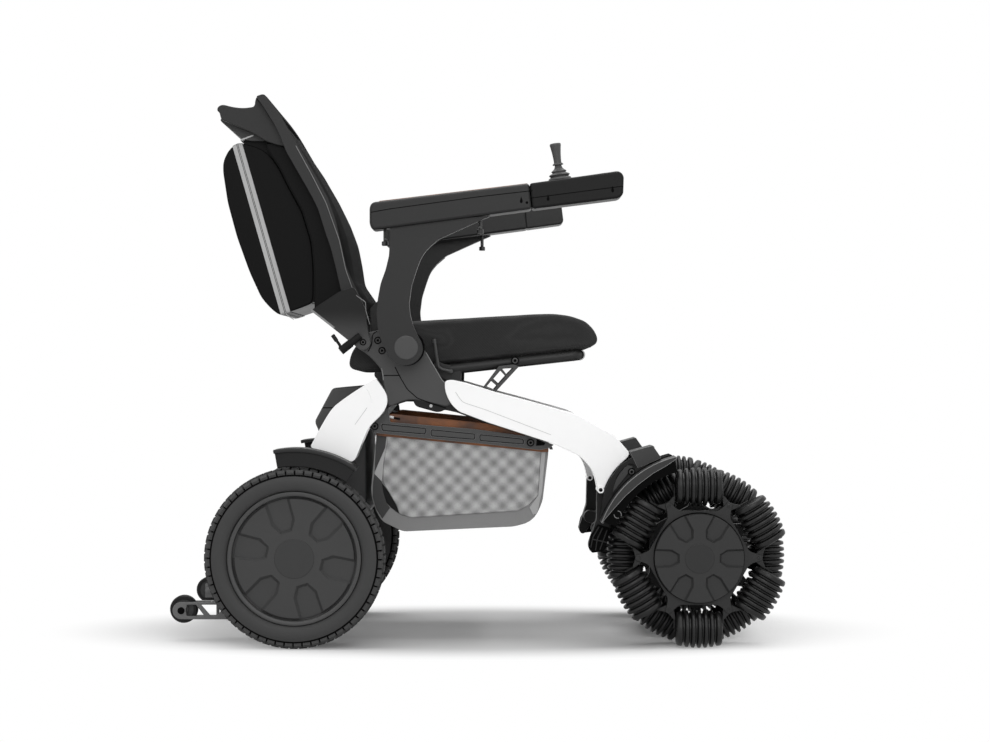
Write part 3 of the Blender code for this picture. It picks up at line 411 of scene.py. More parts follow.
def colour(red, green, blue):
    return (linear(red), linear(green), linear(blue), 1)


def surface(name, build, **constants):
    made = bpy.data.materials.new(name)
    made.use_nodes = True
    shader = made.node_tree.nodes["Principled BSDF"]
    place = Wire(made.node_tree, None).node("TexCoord", {}, {}, "Object")
    for key, value in constants.items():
        shader.inputs[key.replace("_", " ")].default_value = value
    for key, value in build(place).items():
        made.node_tree.links.new(value.socket, shader.inputs[key])
    return made


def moulded(name, tone, roughness=0.45, grain=0.3, scale=750, spread=0.25, gloss=0.3, **constants):
    # Moulded plastic: a fine grain, and a broad drift in tone and sheen.
    def build(place):
        fine, broad = place.noise(scale), place.noise(9, 3)
        return {
            "Base Color": tone * (1 - spread / 2 + spread * broad),
            "Roughness": roughness - 0.06 + 0.12 * broad + 0.04 * fine,
            "Normal": fine.relief(grain, 0.0003),
        }
    return surface(name, build, Specular_IOR_Level=gloss, **constants)


def woven(name, tone, scale, gloss=0.15):
    # Cloth: two crossed thread directions with a soft mottle.
    def build(place):
        values = {"Vector": place, "Scale": scale, "Distortion": 1.5, "Detail": 1.0}
        thread, weft = [
            place.node("TexWave", {"wave_type": "BANDS", "bands_direction": way}, values, 1)
            for way in ("DIAGONAL", "Y")
        ]
        weave = thread * 0.5 + weft * 0.5
        mottle = place.noise(22, 4)
        return {
            "Base Color": tone * (0.7 + 0.35 * weave + 0.3 * mottle),
            "Roughness": 0.82 + 0.12 * mottle,
            "Normal": (weave + 0.6 * place.noise(60, 3)).relief(0.35, 0.0006),
        }
    return surface(name, build, Specular_IOR_Level=gloss, Sheen_Weight=gloss / 5)


def paintBuild(place):
    ripple = place.noise(160, 1)
    return {
        "Base Color": 0.86 + 0.03 * place.noise(5),
        "Roughness": 0.22 + 0.06 * place.noise(30),
        "Normal": ripple.relief(0.03, 0.0004),
    }


def leatherBuild(place):
    pebble = place.node("TexVoronoi", {}, {"Vector": place, "Scale": 420}, "Distance")
    wear = place.noise(24, 4)
    return {
        "Base Color": wear.span(0.3, 0.7).blend(colour(66, 36, 16), colour(128, 74, 32)),
        "Roughness": 0.42 + 0.15 * wear,
        "Normal": (pebble + 0.4 * wear).relief(0.35, 0.0004),
    }


def netBuild(place):
    # Net over a padded lining: soft dark blotches in rows, and fine holes.
    parts = place.node("SeparateXYZ", {}, {0: place})
    x = Wire(place.tree, parts.socket.node.outputs[0]) * (pi / 0.0161)
    z = Wire(place.tree, parts.socket.node.outputs[2]) * (pi / 0.0154)
    blotch = x.calc("COSINE", x) * z.calc("COSINE", z)
    hole = place.node("TexVoronoi", {"feature": "F1"}, {"Vector": place, "Scale": 520}, "Distance")
    shade = 0.5 + 0.5 * blotch
    speck = hole.span(0.15, 0.45)
    return {
        "Base Color": (0.17 + 0.24 * shade) * (0.72 + 0.28 * speck) + 0.04 * place.noise(60, 3),
        "Roughness": 0.55 + 0.2 * speck,
        "Normal": (speck + shade).relief(0.3, 0.0006),
    }


def lobeHighlightBuild(place):
    # Brighter towards the bottom: a painted highlight on the hinge metal that fades into the dark shell
    # above.
    parts = place.node("SeparateXYZ", {}, {0: place}, 2)
    return {
        "Base Color": parts.span(0.532, 0.60, 0.06, 0.006) * (0.85 + 0.3 * place.noise(9, 3)),
        "Roughness": 0.36 + 0.1 * place.noise(30),
        "Normal": place.noise(520).relief(0.3, 0.0003),
    }


looks = {
    "lobe": surface("hinge_lobe", lobeHighlightBuild, Specular_IOR_Level=0.18),
    "plastic": moulded("satin_plastic", 0.010, 0.42),
    "plasticDark": moulded("satin_plastic_dark", 0.006, 0.48, gloss=0.2),
    "armrest": moulded("armrest_plastic", 0.008, 0.40, grain=0.2),
    "control": moulded("controller_plastic", 0.004, 0.38, grain=0.2, gloss=0.15),
    "casting": moulded("cast_metal", 0.047, 0.40, grain=0.35, scale=520),
    # The edge look is a painted highlight, for bevels and thin cords along lit edges.
    "edge": moulded("worn_edge", 0.20, 0.35, grain=0.1),
    "hub": moulded("hub_plastic", 0.036, 0.50, grain=0.15),
    "hubDark": moulded("hub_dark", 0.028, 0.50, grain=0.15),
    "hubFront": moulded("front_hub_plastic", 0.020, 0.50, grain=0.15),
    "hubFrontDark": moulded("front_hub_dark", 0.016, 0.50, grain=0.15),
    "rim": moulded("rim_metal", 0.052, 0.45, grain=0.2),
    "groove": moulded("groove_dark", 0.002, 0.8, grain=0.1, gloss=0.05),
    "tread": moulded("tyre_tread", 0.056, 0.80, grain=0.5, scale=420, gloss=0.2),
    "wall": moulded("tyre_wall", 0.036, 0.62, grain=0.25, scale=420),
    "roller": moulded("roller_rubber", 0.007, 0.36, grain=0.15, scale=420),
    "paint": surface("gloss_white_paint", paintBuild, Coat_Weight=0.5, Coat_Roughness=0.06),
    "steel": moulded("bright_steel", 0.42, 0.30, grain=0.1, Metallic=1.0),
    "screw": moulded("dark_screw", 0.05, 0.32, grain=0.1, Metallic=0.8),
    "rail": moulded("rail_metal", 0.052, 0.36, grain=0.2, Metallic=0.3),
    "fork": moulded("fork_metal", 0.12, 0.4, grain=0.2, Metallic=0.2),
    "battery": moulded("battery_plastic", 0.056, 0.45),
    "seatCloth": woven("seat_cloth", 0.026, 130),
    "backCloth": woven("back_cloth", 0.013, 130, 0.02),
    "bagBand": moulded("bag_band", 0.20, 0.62, grain=0.4, scale=380),
    # Paler and darker copies of the band's look: painted light and shade for its facets.
    "bagPale": moulded("bag_band_pale", 0.34, 0.62, grain=0.4, scale=380),
    "bagDark": moulded("bag_band_dark", 0.040, 0.70, grain=0.4, scale=380),
    "bagMesh": moulded("bag_mesh", 0.012, 0.75, grain=0.6, scale=900, gloss=0.1),
    "shell": moulded("bag_shell", 0.003, 0.36, grain=0.25, scale=240, gloss=0.08),
    "tape": moulded("zip_tape", 0.42, 0.75, grain=0.5, scale=900),
    "leather": surface("brown_leather", leatherBuild),
    "pale": moulded("pale_trim", 0.45, 0.5),
    "post": moulded("post_plastic", 0.010, 0.42, grain=0.25),
    "piping": moulded("seam_piping", 0.008, 0.7, gloss=0.1),
    "net": surface("bag_net", netBuild),
}
print("materials ready")

# Camera, first, so that every later stage is seen from the photograph's place.
view = {"place": (0.0345, -4.120, 0.488), "lens": 79.3, "sensor": 36}
cameraData = bpy.data.cameras.new("camera")
cameraData.lens = view["lens"]
cameraData.sensor_width = view["sensor"]
cameraData.clip_end = 60
camera = placed("camera", cameraData)
camera.location = view["place"]
camera.rotation_euler = (radians(90), 0, 0)
scene.camera = camera
scene.view_settings.view_transform = "Standard"
print("camera ready")

# Rear wheels.
tyre = {
    "middle": 280, "cell": 6, "rise": 0.005,
    "half": [(118.6, 21.5), (121, 25.8), (124, 27.9), (128.5, 29.3), (133, 29.9), (137, 29.9), (141, 29.3),
        (144.6, 28.0), (145.4, 26.4), (146.4, 26.2), (147.6, 25.4), (149.5, 23.2), (152.4, 19.5),
        (153.6, 14.5), (154, 9.5), (154, 4.5)],
    "wall": 144.8, "root": 147, "top": 153, "middleBand": 14.4, "blocks": (19.6, 25.4),
}


def rearTyre(side):
    middle = tyre["middle"]
    profile = [(r, middle + out) for r, out in tyre["half"]]
    profile += [(r, middle - out) for r, out in reversed(tyre["half"])]
    bm = turned(profile, rearAxle, side, 360)
    shoulder, crown = [], []
    low, high = tyre["blocks"]
    for face in bm.faces:
        spot = face.calc_center_median()
        x, z = (spot.x - rearAxle[0]) * 1000, (spot.z - rearAxle[1]) * 1000
        out, radius = abs(abs(spot.y) * 1000 - middle), hypot(x, z)
        cell = int(degrees(atan2(z, x)) % 360) % tyre["cell"]
        # Slits between the tread blocks and the ring at the tread's root take the near-black groove look:
        # painted shade in the gaps.
        slit = cell == 5 if out > tyre["middleBand"] else cell == 2
        rubber = 2 if radius < tyre["root"] or slit else 1
        face.material_index = 0 if radius < tyre["wall"] else rubber
        if low < out < high and radius > tyre["root"] and cell < 5:
            shoulder.append(face)
        if out < tyre["middleBand"] and radius > tyre["top"] and cell != 2:
            crown.append(face)
    for faces in (shoulder, crown):
        ops.inset_region(bm, faces=faces, thickness=0.0004, depth=tyre["rise"], use_boundary=True,
                         use_even_offset=True)
    return bm


hubShape = {
    "cap": 105.6, "boss": 35, "front": 298.4, "depth": 5.5,
    "wide": [(112, -23), (65, -21.5), (47, -10), (47, 10), (65, 21.5), (112, 23)],
    "slim": [(114, -18), (68, -16.5), (52, -8), (52, 8), (68, 16.5), (114, 18)],
}


def cap(centre, side, scale, front, back, angles):
    # A disc with six recesses that open at its rim, and a plain raised middle.
    radius, boss = hubShape["cap"] * scale, hubShape["boss"] * scale
    disc = turned([(0, back), (radius - 1, back), (radius, back + 1), (radius, front - 1.4),
                   (radius - 1.2, front), (0, front)], centre, side, 120)
    tools = []
    for angle in angles:
        wide, slim = [radial(centre, [(u * scale, v * scale) for u, v in hubShape[key]], angle)
                      for key in ("wide", "slim")]
        tools.append(frustum(wide, slim, front + 0.02, front - hubShape["depth"], side))
    button = turned([(0, front - 2), (boss, front - 2), (boss, front + 0.3), (boss - 0.8, front + 0.9),
                     (0, front + 0.9)], centre, side, 96)
    return joined(tinted(carved(disc, *tools), 0), tinted(button, 1))


wheel = {
    "rim": [(117.9, 258.2), (117.9, 300.6), (117.0, 302.0), (115.2, 302.5), (112.6, 302.2),
            (110.4, 301.0), (109.4, 298.4), (108.9, 289.5), (104, 288), (88, 286.5), (88, 262),
            (104, 259.5), (108, 257.8), (114, 257.5)],
    "motor": [(0, 250), (10.5, 250), (10.5, 241), (29, 241), (30, 244), (34, 246.2), (82, 246.2),
              (84.5, 248), (84.5, 262), (0, 262)],
    "bolts": 64, "turn": 47,
}
for name, side in sides.items():
    label = name.lower()
    body = f"{label}_rear_wheel"
    piece(f"rearTyre{name}", rearTyre(side), ["wall", "tread", "groove"], body, [f"rear_tyre_{label}"],
          "tyre", smooth=30, weighted=False)
    kit = Kit(rearAxle, side)
    kit.put("rim", turned(wheel["rim"], rearAxle, side, 128), turned(wheel["motor"], rearAxle, side, 80))
    for number in range(6):
        spot = radial(rearAxle, [(wheel["bolts"], 0)], 30 + 60 * number)[0]
        kit.put("screw", bolt(spot, 5, -246.4, -242.2, -side))
    kit.rod("groove", (0, 0), 106, 284, 288.5, 96)
    kit.make(f"rearRim{name}", body, [f"rear_hub_{label}"], "hub_metal")
    angles = [wheel["turn"] + 60 * number for number in range(6)]
    disc = cap(rearAxle, side, 1.0, hubShape["front"], 287, angles)
    piece(f"rearCap{name}", disc, ["hub", "hubDark"], body, slot="hub_metal", smooth=25)
print("rear wheels ready")

# Front wheels: a cap, two star plates and their rollers.
star = {
    "thick": 7, "rows": {"outer": (276, 0), "inner": (214, 30)}, "pin": 105, "scale": 78 / 105,
    "arm": [(84.5, 19.5), (86, 15.8), (90.2, 11.8), (96, 9), (103, 6.8), (109, 5.4), (112, 3)],
    "lugs": [
        ("hubFrontDark", -5.5, 3.5,
         [(100, 2), (112, 0.5), (113.5, 8), (116, 14), (116, 19.2), (112, 17), (101, 8)]),
        ("roller", -4, -1, [(113, 14), (130, 24), (131, 26.5), (126, 25.2), (112, 17)]),
    ],
    "drum": [(0, 290), (76, 290), (77, 289), (77, 186), (75, 184.2), (11, 184.2), (10.6, 186),
             (10.6, 280), (0, 280)],
}


def starPlate(kit, row, turn):
    half = star["arm"]
    arm = [(u, -v) for u, v in half] + half[::-1]
    angles = [turn + 60 * number for number in range(6)]
    outline = [point for angle in angles for point in radial(frontAxle, arm, angle)]
    hub = panel(outline, row - star["thick"], row + star["thick"], kit.side, 14)
    kit.put("hubFrontDark", eased(hub, 1.0, 2))
    for angle in angles:
        for hand in (-1, 1):
            for look, low, high, lug in star["lugs"]:
                outline = radial(frontAxle, [(u, v * hand) for u, v in lug], angle)
                kit.put(look, eased(panel(outline, row + low, row + high, kit.side), 0.6, 1))
        pin = radial(frontAxle, [(star["pin"], 0)], angle)[0]
        kit.put("screw", bolt(pin, 3, row + 6, row + 7.6, kit.side, 20))


roller = {
    "reach": 159, "axis": 125, "ribs": [-34.8, -22, -11, 0, 11, 22, 34.8], "depth": 7.6,
    "rib": [(-1, 2.0), (-0.78, 0.6), (-0.4, 0), (0.4, 0), (0.78, 0.6), (1, 2.0)],
}


def rollerShape(side, row, turn, number):
    def reach(x):
        return sqrt(roller["reach"] ** 2 - x ** 2) - roller["axis"]

    def halfOf(rib):
        return 4.8 if abs(rib) > 30 else 3.15

    ribs, end = roller["ribs"], reach(39) - 5.5
    profile = [(4.6, -39.2), (9, -39.6), (end, -38.6)]
    for i, rib in enumerate(ribs):
        if i:
            low, high = ribs[i - 1] + halfOf(ribs[i - 1]), rib - halfOf(rib)
            middle = (low + high) / 2
            floor = reach(middle) - roller["depth"]
            profile += [(floor, middle - 0.9), (floor, middle + 0.9)]
        for share, drop in roller["rib"]:
            x = rib + share * halfOf(rib)
            profile.append((reach(x) - drop, x))
    bm = turned(profile + [(end, 38.6), (9, 39.6), (4.6, 39.2)], (0, 0), steps=28)
    angle, axis = radians(turn + (number + 0.5) * 60), roller["axis"] / 1000
    axle = Vector((-sin(angle), 0, cos(angle)))
    spot = Vector((frontAxle[0] + axis * cos(angle), side * row / 1000, frontAxle[1] + axis * sin(angle)))
    turnTo = Vector((0, 1, 0)).rotation_difference(axle).to_matrix().to_4x4()
    ops.transform(bm, matrix=Matrix.Translation(spot) @ turnTo, verts=bm.verts)
    return bm


for name, side in sides.items():
    label = name.lower()
    body = f"{label}_front_wheel"
    kit = Kit(frontAxle, side)
    for row, (across, turn) in star["rows"].items():
        for number in range(6):
            node = f"roller_{label}_{row}_{number + 1}"
            piece(f"roller{name}{row.title()}{number + 1}", rollerShape(side, across, turn, number),
                  ["roller"], f"{node}_body", [node], "rubber", smooth=50, weighted=False)
        starPlate(kit, across, turn)
    kit.make(f"frontStar{name}", body, [f"front_hub_{label}"], "hub_metal")
    kit = Kit(frontAxle, side)
    kit.put("groove", turned(star["drum"], frontAxle, side, 96))
    kit.rod("groove", (0, 0), 80.2, 268, 283.6, 96)
    kit.make(f"frontDrum{name}", body, slot="hub_metal")
    disc = cap(frontAxle, side, star["scale"], 296.5, 284, [60 * number for number in range(6)])
    piece(f"frontCap{name}", disc, ["hubFront", "hubFrontDark"], body, slot="hub_metal", smooth=25)
print("front wheels ready")

# Side frames: arms in one outline, cast hubs in the middle, beams across.
coverTop = near(pivot, [(71, -55), (97, -60), (137, -72), (159, -79), (209, -92)]) + near(
    frontMark, [(-54, 252), (-25, 235), (12, 215), (32, 192), (42, 180)])
coverNose = near(frontMark, [(19, 162), (2, 139), (-6, 121), (-8, 114.4), (-12.5, 111.8), (-17, 114.4)])
coverLow = near(frontMark, [(-23, 145), (-34, 162), (-51, 179), (-94, 199)]) + near(
    pivot, [(142, -132), (89, -112), (72, -92), (65, -65)])
rearTop = near(pivot, [(-55, -54), (-75, -66), (-94, -78)]) + near(
    rearAxle, [(77, 274.5), (63, 262.5), (46.8, 236)])
rearFront = near(rearAxle, [(112, 190), (122, 217), (132, 234)]) + near(
    pivot, [(-45, -119), (-36, -104), (-34, -92), (-37, -79), (-51, -59)])
arms = {
    "across": (200, 240), "casting": (222.5, 241.9), "link": (150, 176),
    "bracket": [(6, 120), (5, 95), (6, 50), (-22, 7), (-31, 7), (-34, 19), (-19, 65), (-18, 111),
        (-18, 142)],
    "tab": [(66, -110), (61.7, -113), (52.8, -114.5), (17.2, -104.7), (12.8, -100.3), (10, -92),
        (-33, -105)],
    "seams": [[(-21.8, -33.9), (-12.9, -51.7), (0, -73.4), (17.7, -89.2), (39.3, -97.2), (69, -107)],
        [(-41.5, -48.9), (-12.9, -48.9)], [(-53.5, 29.7), (-59.2, 27.2), (-62.7, 20.3), (-62.4, 9.4),
        (-66.8, -2.3), (-70.2, -6.4)]],
    "rim": [(-68.6, -8.8), (-57.7, -16.5), (-48.8, -28.8), (-43.8, -40.7), (-42.4, -57)],
    "foot": [(-59, -43), (-38, -42), (-38, -64), (-47, -64), (-53, -56), (-59, -51)],
    "bead": [(33, -8), (61.5, -57), (91, -86)], "screws": [(-52.4, 13.4), (-44.9, -4.8)],
    "block": [(-17.8, 57), (4.4, 49.7), (1.4, 32), (-5.9, 8.2), (-28.1, 5.3), (-34.2, 15.6), (-29.7, 36.4)],
    "slats": [[(-15, 52), (-26.5, 32), (-29.5, 15)], [(-8.5, 50), (-18.6, 29), (-21, 10)], [(-0.6, 46),
        (-8.5, 25), (-13.5, 11)], [(-27.5, 30), (-0.5, 24)]],
    "hub": [(-33, -105), (-3, -93), (15, -92), (72, -105), (92, -88), (62, -57), (26, 4), (0, 20),
        (-26, 22), (-42, 34), (-68, 28), (-84, 24), (-92, 12), (-90, 0), (-72, -10), (-51, -31),
        (-43, -47), (-44, -61)],
    "beam": [(-30, -96), (56, -96), (56, -68), (-30, -68)],
    "rearBeam": [(8, 42), (112, 42), (112, 56), (8, 56)],
}


def bar(first, firstRadius, second, secondRadius, steps=14):
    run, rise = second[0] - first[0], second[1] - first[1]
    heading = degrees(atan2(rise, run))
    quarter = 90 - degrees(asin((firstRadius - secondRadius) / 1000 / hypot(run, rise)))
    return (arc(second, secondRadius, heading - quarter, heading + quarter, steps)
            + arc(first, firstRadius, heading + quarter, heading + 360 - quarter, steps))


armOutline = (
    moved(coverTop[:-1], 0, -7) + moved(coverNose[:2], -5, 0) + near(frontMark, arms["bracket"])
    + moved(coverLow[1:4], 4, 5) + moved(coverLow[4:6], 0, -3) + near(pivot, arms["tab"])
    + moved(rearFront[3::-1], -4, 2)
    + near(rearAxle, [(95, 150), (50, 60)]) + arc(rearAxle, 45, 10, -190, 10)
    + near(rearAxle, [(-26, 60), (32, 182)]) + moved(rearTop[::-1], 6, -6)
)
frontBeam = spotBy(frontMark, -2, 176)
linkRoot = spotBy(frontMark, -14, 44)
for name, side in sides.items():
    kit = Kit(pivot, side)
    kit.plate("plasticDark", armOutline, *arms["across"], 2.5, 3, 9)
    kit.slab("casting", arms["hub"], *arms["casting"], 2.6, 3, 12)
    kit.plate("plasticDark", bar(linkRoot, 12, frontAxle, 24), *arms["link"], 2.5, 3)
    kit.put("plasticDark", rod(pivot, 26, 224, 271, side, 64, 2), rod(pivot, 12, 242, 284.8, side, 48),
            rod(backHinge, 6, 224, 251.5, side), rod(rearAxle, 10, 230, 280, side),
            rod(linkRoot, 10.5, 170, 210, side), rod(frontAxle, 10, 152, 276, side))
    for line in arms["seams"]:
        kit.cord("groove", line, arms["casting"][1], 0.8)
    # A near-black washer behind the armrest's lobe: a painted shadow line round it.
    kit.rod("groove", (0, 0), 31.8, 267, 271, 64, 0.3)
    for spot in arms["screws"]:
        kit.screw(spot, 6.6, arms["casting"][1], "groove", "casting")
    kit.rod("pale", (42, -103), 2.9, 239, 240.2, 24, 0.2)
    # Pale cords along the casting's edges: painted highlights.
    kit.cord("edge", arms["rim"], 240.8, 1.1, 10, 10)
    kit.cord("edge", arms["bead"], 241, 0.8, 8, 10)
    kit.slab("plasticDark", arms["foot"], 225, 236, 1.5, 2, 4)
    kit.anchor = frontMark
    for line in arms["slats"]:
        kit.cord("plastic", line, 241.6, 1.2, 10)
    kit.slab("groove", arms["block"], 230, 241.5, 1.5, 2, 5)
    kit.make(f"sideFrame{name}", "frame", ["chassis_frame"], "cast_grey")
kit = Kit(pivot)
kit.put("plastic", rod(frontBeam, 16, -204, 204, 1, 48, 2))
kit.slab("plastic", arms["beam"], -204, 204, 3, 3)
kit.anchor = rearAxle
kit.slab("plastic", arms["rearBeam"], -204, 204, 3, 3)
kit.put("plastic", rod(footHinge, 5, -90, 90, 1, 28))
hanger = [frontBeam, *near(frontMark, [(20, 91), (38, -39)]), footHinge]
for side in sides.values():
    kit.put("plastic", pipe(at(hanger, 90 * side), 9, 24, 22), rod(footHinge, 10.2, 79, 101, side, 40, 1.2))
kit.make("crossBeams", "frame", slot="cast_grey")
print("frame ready")

# White covers over both arms, each an outer and an inner shell with a parting line.
covers = {
    "inner": (195.7, 221.7), "frontOuter": (222.1, 249.8), "rearOuter": (222.1, 259.8),
    "groove": [(85.9, -78), (92, -88), (99.2, -96.6), (140, -110), (200, -133), (255.4, -154.3)],
    "eye": (-12.5, 118), "crease": [(-70.6, -72.6), (-62.2, -83.2), (-62.2, -97.3)],
    "fold": [(-70.6, -106), (-92, -136)],
    "ring": [(3.5, 190), (5.8, 190), (6.2, 193), (6.2, 252.6), (5.8, 253.2), (3.5, 253.2)],
}
rearOutline = rearTop + arc(rearAxle, 194.3, 83, 58.4, 5) + rearFront
frontOutline = coverTop + coverNose + coverLow
for name, side in sides.items():
    label = name.lower()
    kit = Kit(pivot, side)
    kit.plate("paint", rearOutline, *covers["rearOuter"], 6, 5, 14)
    kit.plate("paint", rearOutline, *covers["inner"], 2, 3, 14)
    kit.cord("paint", covers["crease"], 258.6, 1.9, 12)
    kit.cord("pale", covers["fold"], 259.7, 0.5, 8, 0)
    kit.make(f"rearCover{name}", "frame", [f"rear_cover_{label}"], "gloss_white")
    kit = Kit(pivot, side)
    kit.plate("paint", frontOutline, *covers["frontOuter"], 4.5, 5, 14)
    kit.plate("paint", frontOutline, *covers["inner"], 6, 4, 14)
    kit.cord("pale", covers["groove"], 249.7, 0.5, 8, 9)
    # One bolt through each tip, with an eye on both faces.
    eye = spotBy(frontMark, *covers["eye"])
    kit.put("paint", turned(covers["ring"], eye, side, 32))
    kit.put("groove", rod(eye, 3.7, 190.4, 252.6, side, 24, 0.2))
    kit.make(f"frontCover{name}", "frame", [f"front_cover_{label}"], "gloss_white")
print("covers ready")

# Fenders.
fender = {
    "rearLip": [(187.5, 240.3), (192.8, 240.3), (194, 241.5), (194, 302.4), (193.2, 303.6), (191.6, 304),
        (188.6, 304), (187.4, 303.2), (187, 302)],
    "rearSkirt": [(161, 296), (190, 296), (190, 299.5), (163, 301), (161.4, 300.4)],
    "roof": [(180, 240.3), (183, 240.3), (184, 241.3), (184, 300.5), (180, 300.5)],
    "crescent": [(159, 182), (151, 175), (140, 170.7), (130, 169), (119, 170.5), (109, 173.6), (103, 180)],
    "frontSkirt": [(157, 302), (181, 302), (181, 303.4), (158, 303.6), (157.2, 303.2)],
    "recess": [(8, 101.6), (9, 122), (16, 143), (28, 158), (40, 166.5), (50, 160), (40, 147), (22, 129)],
    "ramp": [(33, 163), (44.6, 160), (35.8, 148.3), (7.8, 113), (6.4, 118.8), (12.3, 133.5), (21.1, 148.3)],
    "cap": [(38.8, 186), (79.1, 197.2), (94.7, 174.9), (52.6, 157.2)],
    "ring": [(5.8, 302.6), (6.8, 302.6), (6.8, 304.2), (5.8, 304.2)],
    "rib": [(182, 180), (186, 180), (186, 250), (182, 250)],
}
for name, side in sides.items():
    label = name.lower()
    kit = Kit(rearAxle, side)
    # The lip's bevels take the lighter cast look: a painted highlight along its edges.
    kit.edged("plastic", "casting", swept(fender["rearLip"], rearAxle, 55, 101, side, 48), 1.2)
    kit.put("plasticDark", eased(swept(fender["rearSkirt"], rearAxle, 55.5, 100.5, side, 48), 1, 2, 60))
    kit.make(f"rearFender{name}", "frame", [f"rear_fender_{label}"])
    kit = Kit(frontMark, side)
    roof = swept(fender["roof"], frontAxle, 103, 160, side, 56)
    inner = [radial(frontAxle, [(radius, 0)], angle)[0] for angle, radius in fender["crescent"]]
    lip = panel(arc(frontAxle, 184, 103, 160, 40) + inner, 299, 305, side)
    # The lip's bevels take the edge look: a painted highlight.
    kit.edged("hubFront", "edge", joined(roof, lip), 1)
    # A near-black sheet under the fender stands for its shadow on the rollers: painted shadow.
    kit.put("groove", eased(swept(fender["frontSkirt"], frontAxle, 104.5, 159, side, 56), 1, 2, 60),
            eased(swept(fender["rib"], frontAxle, 104, 148, side, 44), 1.2, 2, 60))
    edge = (moved(coverNose[:3], 1.5, 0) + near(frontMark, [(-9.5, 103), (-12, 75)])
            + arc(frontAxle, 185, 158, 118, 8) + moved(coverTop[-1:], 1.5, -3))
    recess = panel(near(frontMark, fender["recess"]), 258.6, 264, side, 6)
    kit.put("plasticDark", eased(carved(panel(edge, 240.3, 262.3, side), recess), 0.9, 2, 50))
    kit.slab("hub", fender["ramp"], 256, 260.6, 0.8, 2, 4)
    # The cap's bevels take the edge look too: a painted highlight.
    kit.edged("hub", "edge", panel(near(frontMark, fender["cap"]), 205, 262.8, side, 4), 1.6, 3, 35)
    kit.screw((41.8, 150.6), 6.8, 262, "groove", "rail")
    mark = spotBy(frontMark, 14.7, 77.8)
    kit.put("edge", *[swept(fender["ring"], mark, start, start + 110, side, 20) for start in (-20, 180)])
    kit.make(f"frontFender{name}", "frame", [f"front_fender_{label}"])
print("fenders ready")

# Anti-tip ladder and its wheels.
ladder = {
    "across": (155, 165), "low": 40, "high": 73, "bays": 4, "pitch": 47.5, "start": -196,
    "fork": (186.6, 190.6), "tip": [(-213.7, -87.3), (-125, -87.3), (-125, -118.5), (-213.7, -118.5)],
    "open": [[(-203, -92.3), (-187, -92.3), (-171.6, -112.5), (-203, -112.5), (-205.6, -103)],
        [(-177.6, -92.3), (-134, -92.3), (-149, -112.5), (-160, -112.5)]],
    "ties": [(-166, -116), (-160, -89.5)],
    "outline": [(-216, -115), (30, -119), (42, -38), (20, -22), (0, -30), (-10, -86), (-216, -88)],
    "end": (-213.7, -102.9), "cap": [(0, 186), (6.4, 186), (6.4, 191.4), (5.2, 192), (0, 192)],
    "collar": [(0, 150.5), (4, 150.5), (6, 151.5), (6, 156), (0, 156)],
    "tread": [(18.5, 166.5), (22.8, 166.5), (24.6, 168.4), (25, 170), (25, 173.6), (24.2, 174.4),
        (24.2, 176.6), (25, 177.4), (25, 181), (24.6, 182.6), (22.8, 184.5), (18.5, 184.5)],
    "centre": [(5.3, 167.5), (9, 167.5), (10, 169), (17.5, 169), (18.7, 168), (18.7, 183), (17.5, 182),
        (10, 182), (9, 184.3), (5.3, 184.3)],
}
holes = []
low, high = ladder["low"] + 5 - 159, ladder["high"] - 5 - 159
for number in range(ladder["bays"]):
    start = ladder["start"] + ladder["pitch"] * number
    end = start + ladder["pitch"] - 5
    if number < 2:
        holes.append([(start, low), (end, low), (end, high), (start, high)])
    else:
        holes.append([(start, low), (end - 7, low), (start, high - 5)])
        holes.append([(start + 7, high), (end, low + 5), (end, high)])
holes = [near(rearAxle, hole) for hole in holes]
kit = Kit(rearAxle)
kit.rod("fork", (-2, -107), 8, -163, 163)
for side in sides.values():
    kit.side = side
    outline = near(rearAxle, ladder["outline"])
    kit.put("fork", eased(panel(outline, *ladder["across"], side, holes=holes), 0.9, 2))
    kit.rod("fork", (20, -38), 12, 157, 199.7, 36)
    kit.put("fork", rod(tipAxle, 5, 157, 184, side, 24), turned(ladder["collar"], tipAxle, side, 28))
    # The fork's outer side, past the wheel, with its two ties.
    forkEnd = spotBy(rearAxle, *ladder["end"])
    outline = near(rearAxle, ladder["tip"][1:3]) + arc(forkEnd, 15.6, 270, 90, 16)
    windows = [near(rearAxle, window) for window in ladder["open"]]
    kit.put("fork", eased(panel(outline, *ladder["fork"], side, holes=windows), 0.9, 2))
    for spot in ladder["ties"]:
        kit.rod("fork", spot, 2.4, 160, 188, 20)
    kit.put("groove", turned(ladder["cap"], forkEnd, side, 28))
kit.make("antiTipLadder", "frame", ["anti_tip_frame"], "frame_black")
for name, side in sides.items():
    label = name.lower()
    kit = Kit(tipAxle, side)
    kit.put("plasticDark", turned(ladder["tread"], tipAxle, side, 48))
    kit.put("hub", turned(ladder["centre"], tipAxle, side, 48))
    kit.make(f"antiTipWheel{name}", f"{label}_anti_tip", [f"anti_tip_wheel_{label}"], "rubber")
    nut = bolt(tipAxle, 4.6, 183.6, 186.4, side, 6)
    piece(f"antiTipNut{name}", nut, ["screw"], "frame", slot="frame_black")
print("anti-tip ready")

# Battery box, with a seam cut round it.
battery = {
    "outline": [(23, 236), (56, 298), (113, 303), (118, 296), (118, 66), (108, 56.5), (45, 56.5),
                (31, 80), (31, 221)],
    "seam": 0.262,
}


def cut(bm, spot, normal):
    geom = list(bm.verts) + list(bm.edges) + list(bm.faces)
    ops.bisect_plane(bm, geom=geom, plane_co=spot, plane_no=normal)


def onSeam(vert):
    return abs(vert.co.z - rearAxle[1] - battery["seam"]) < 1e-6


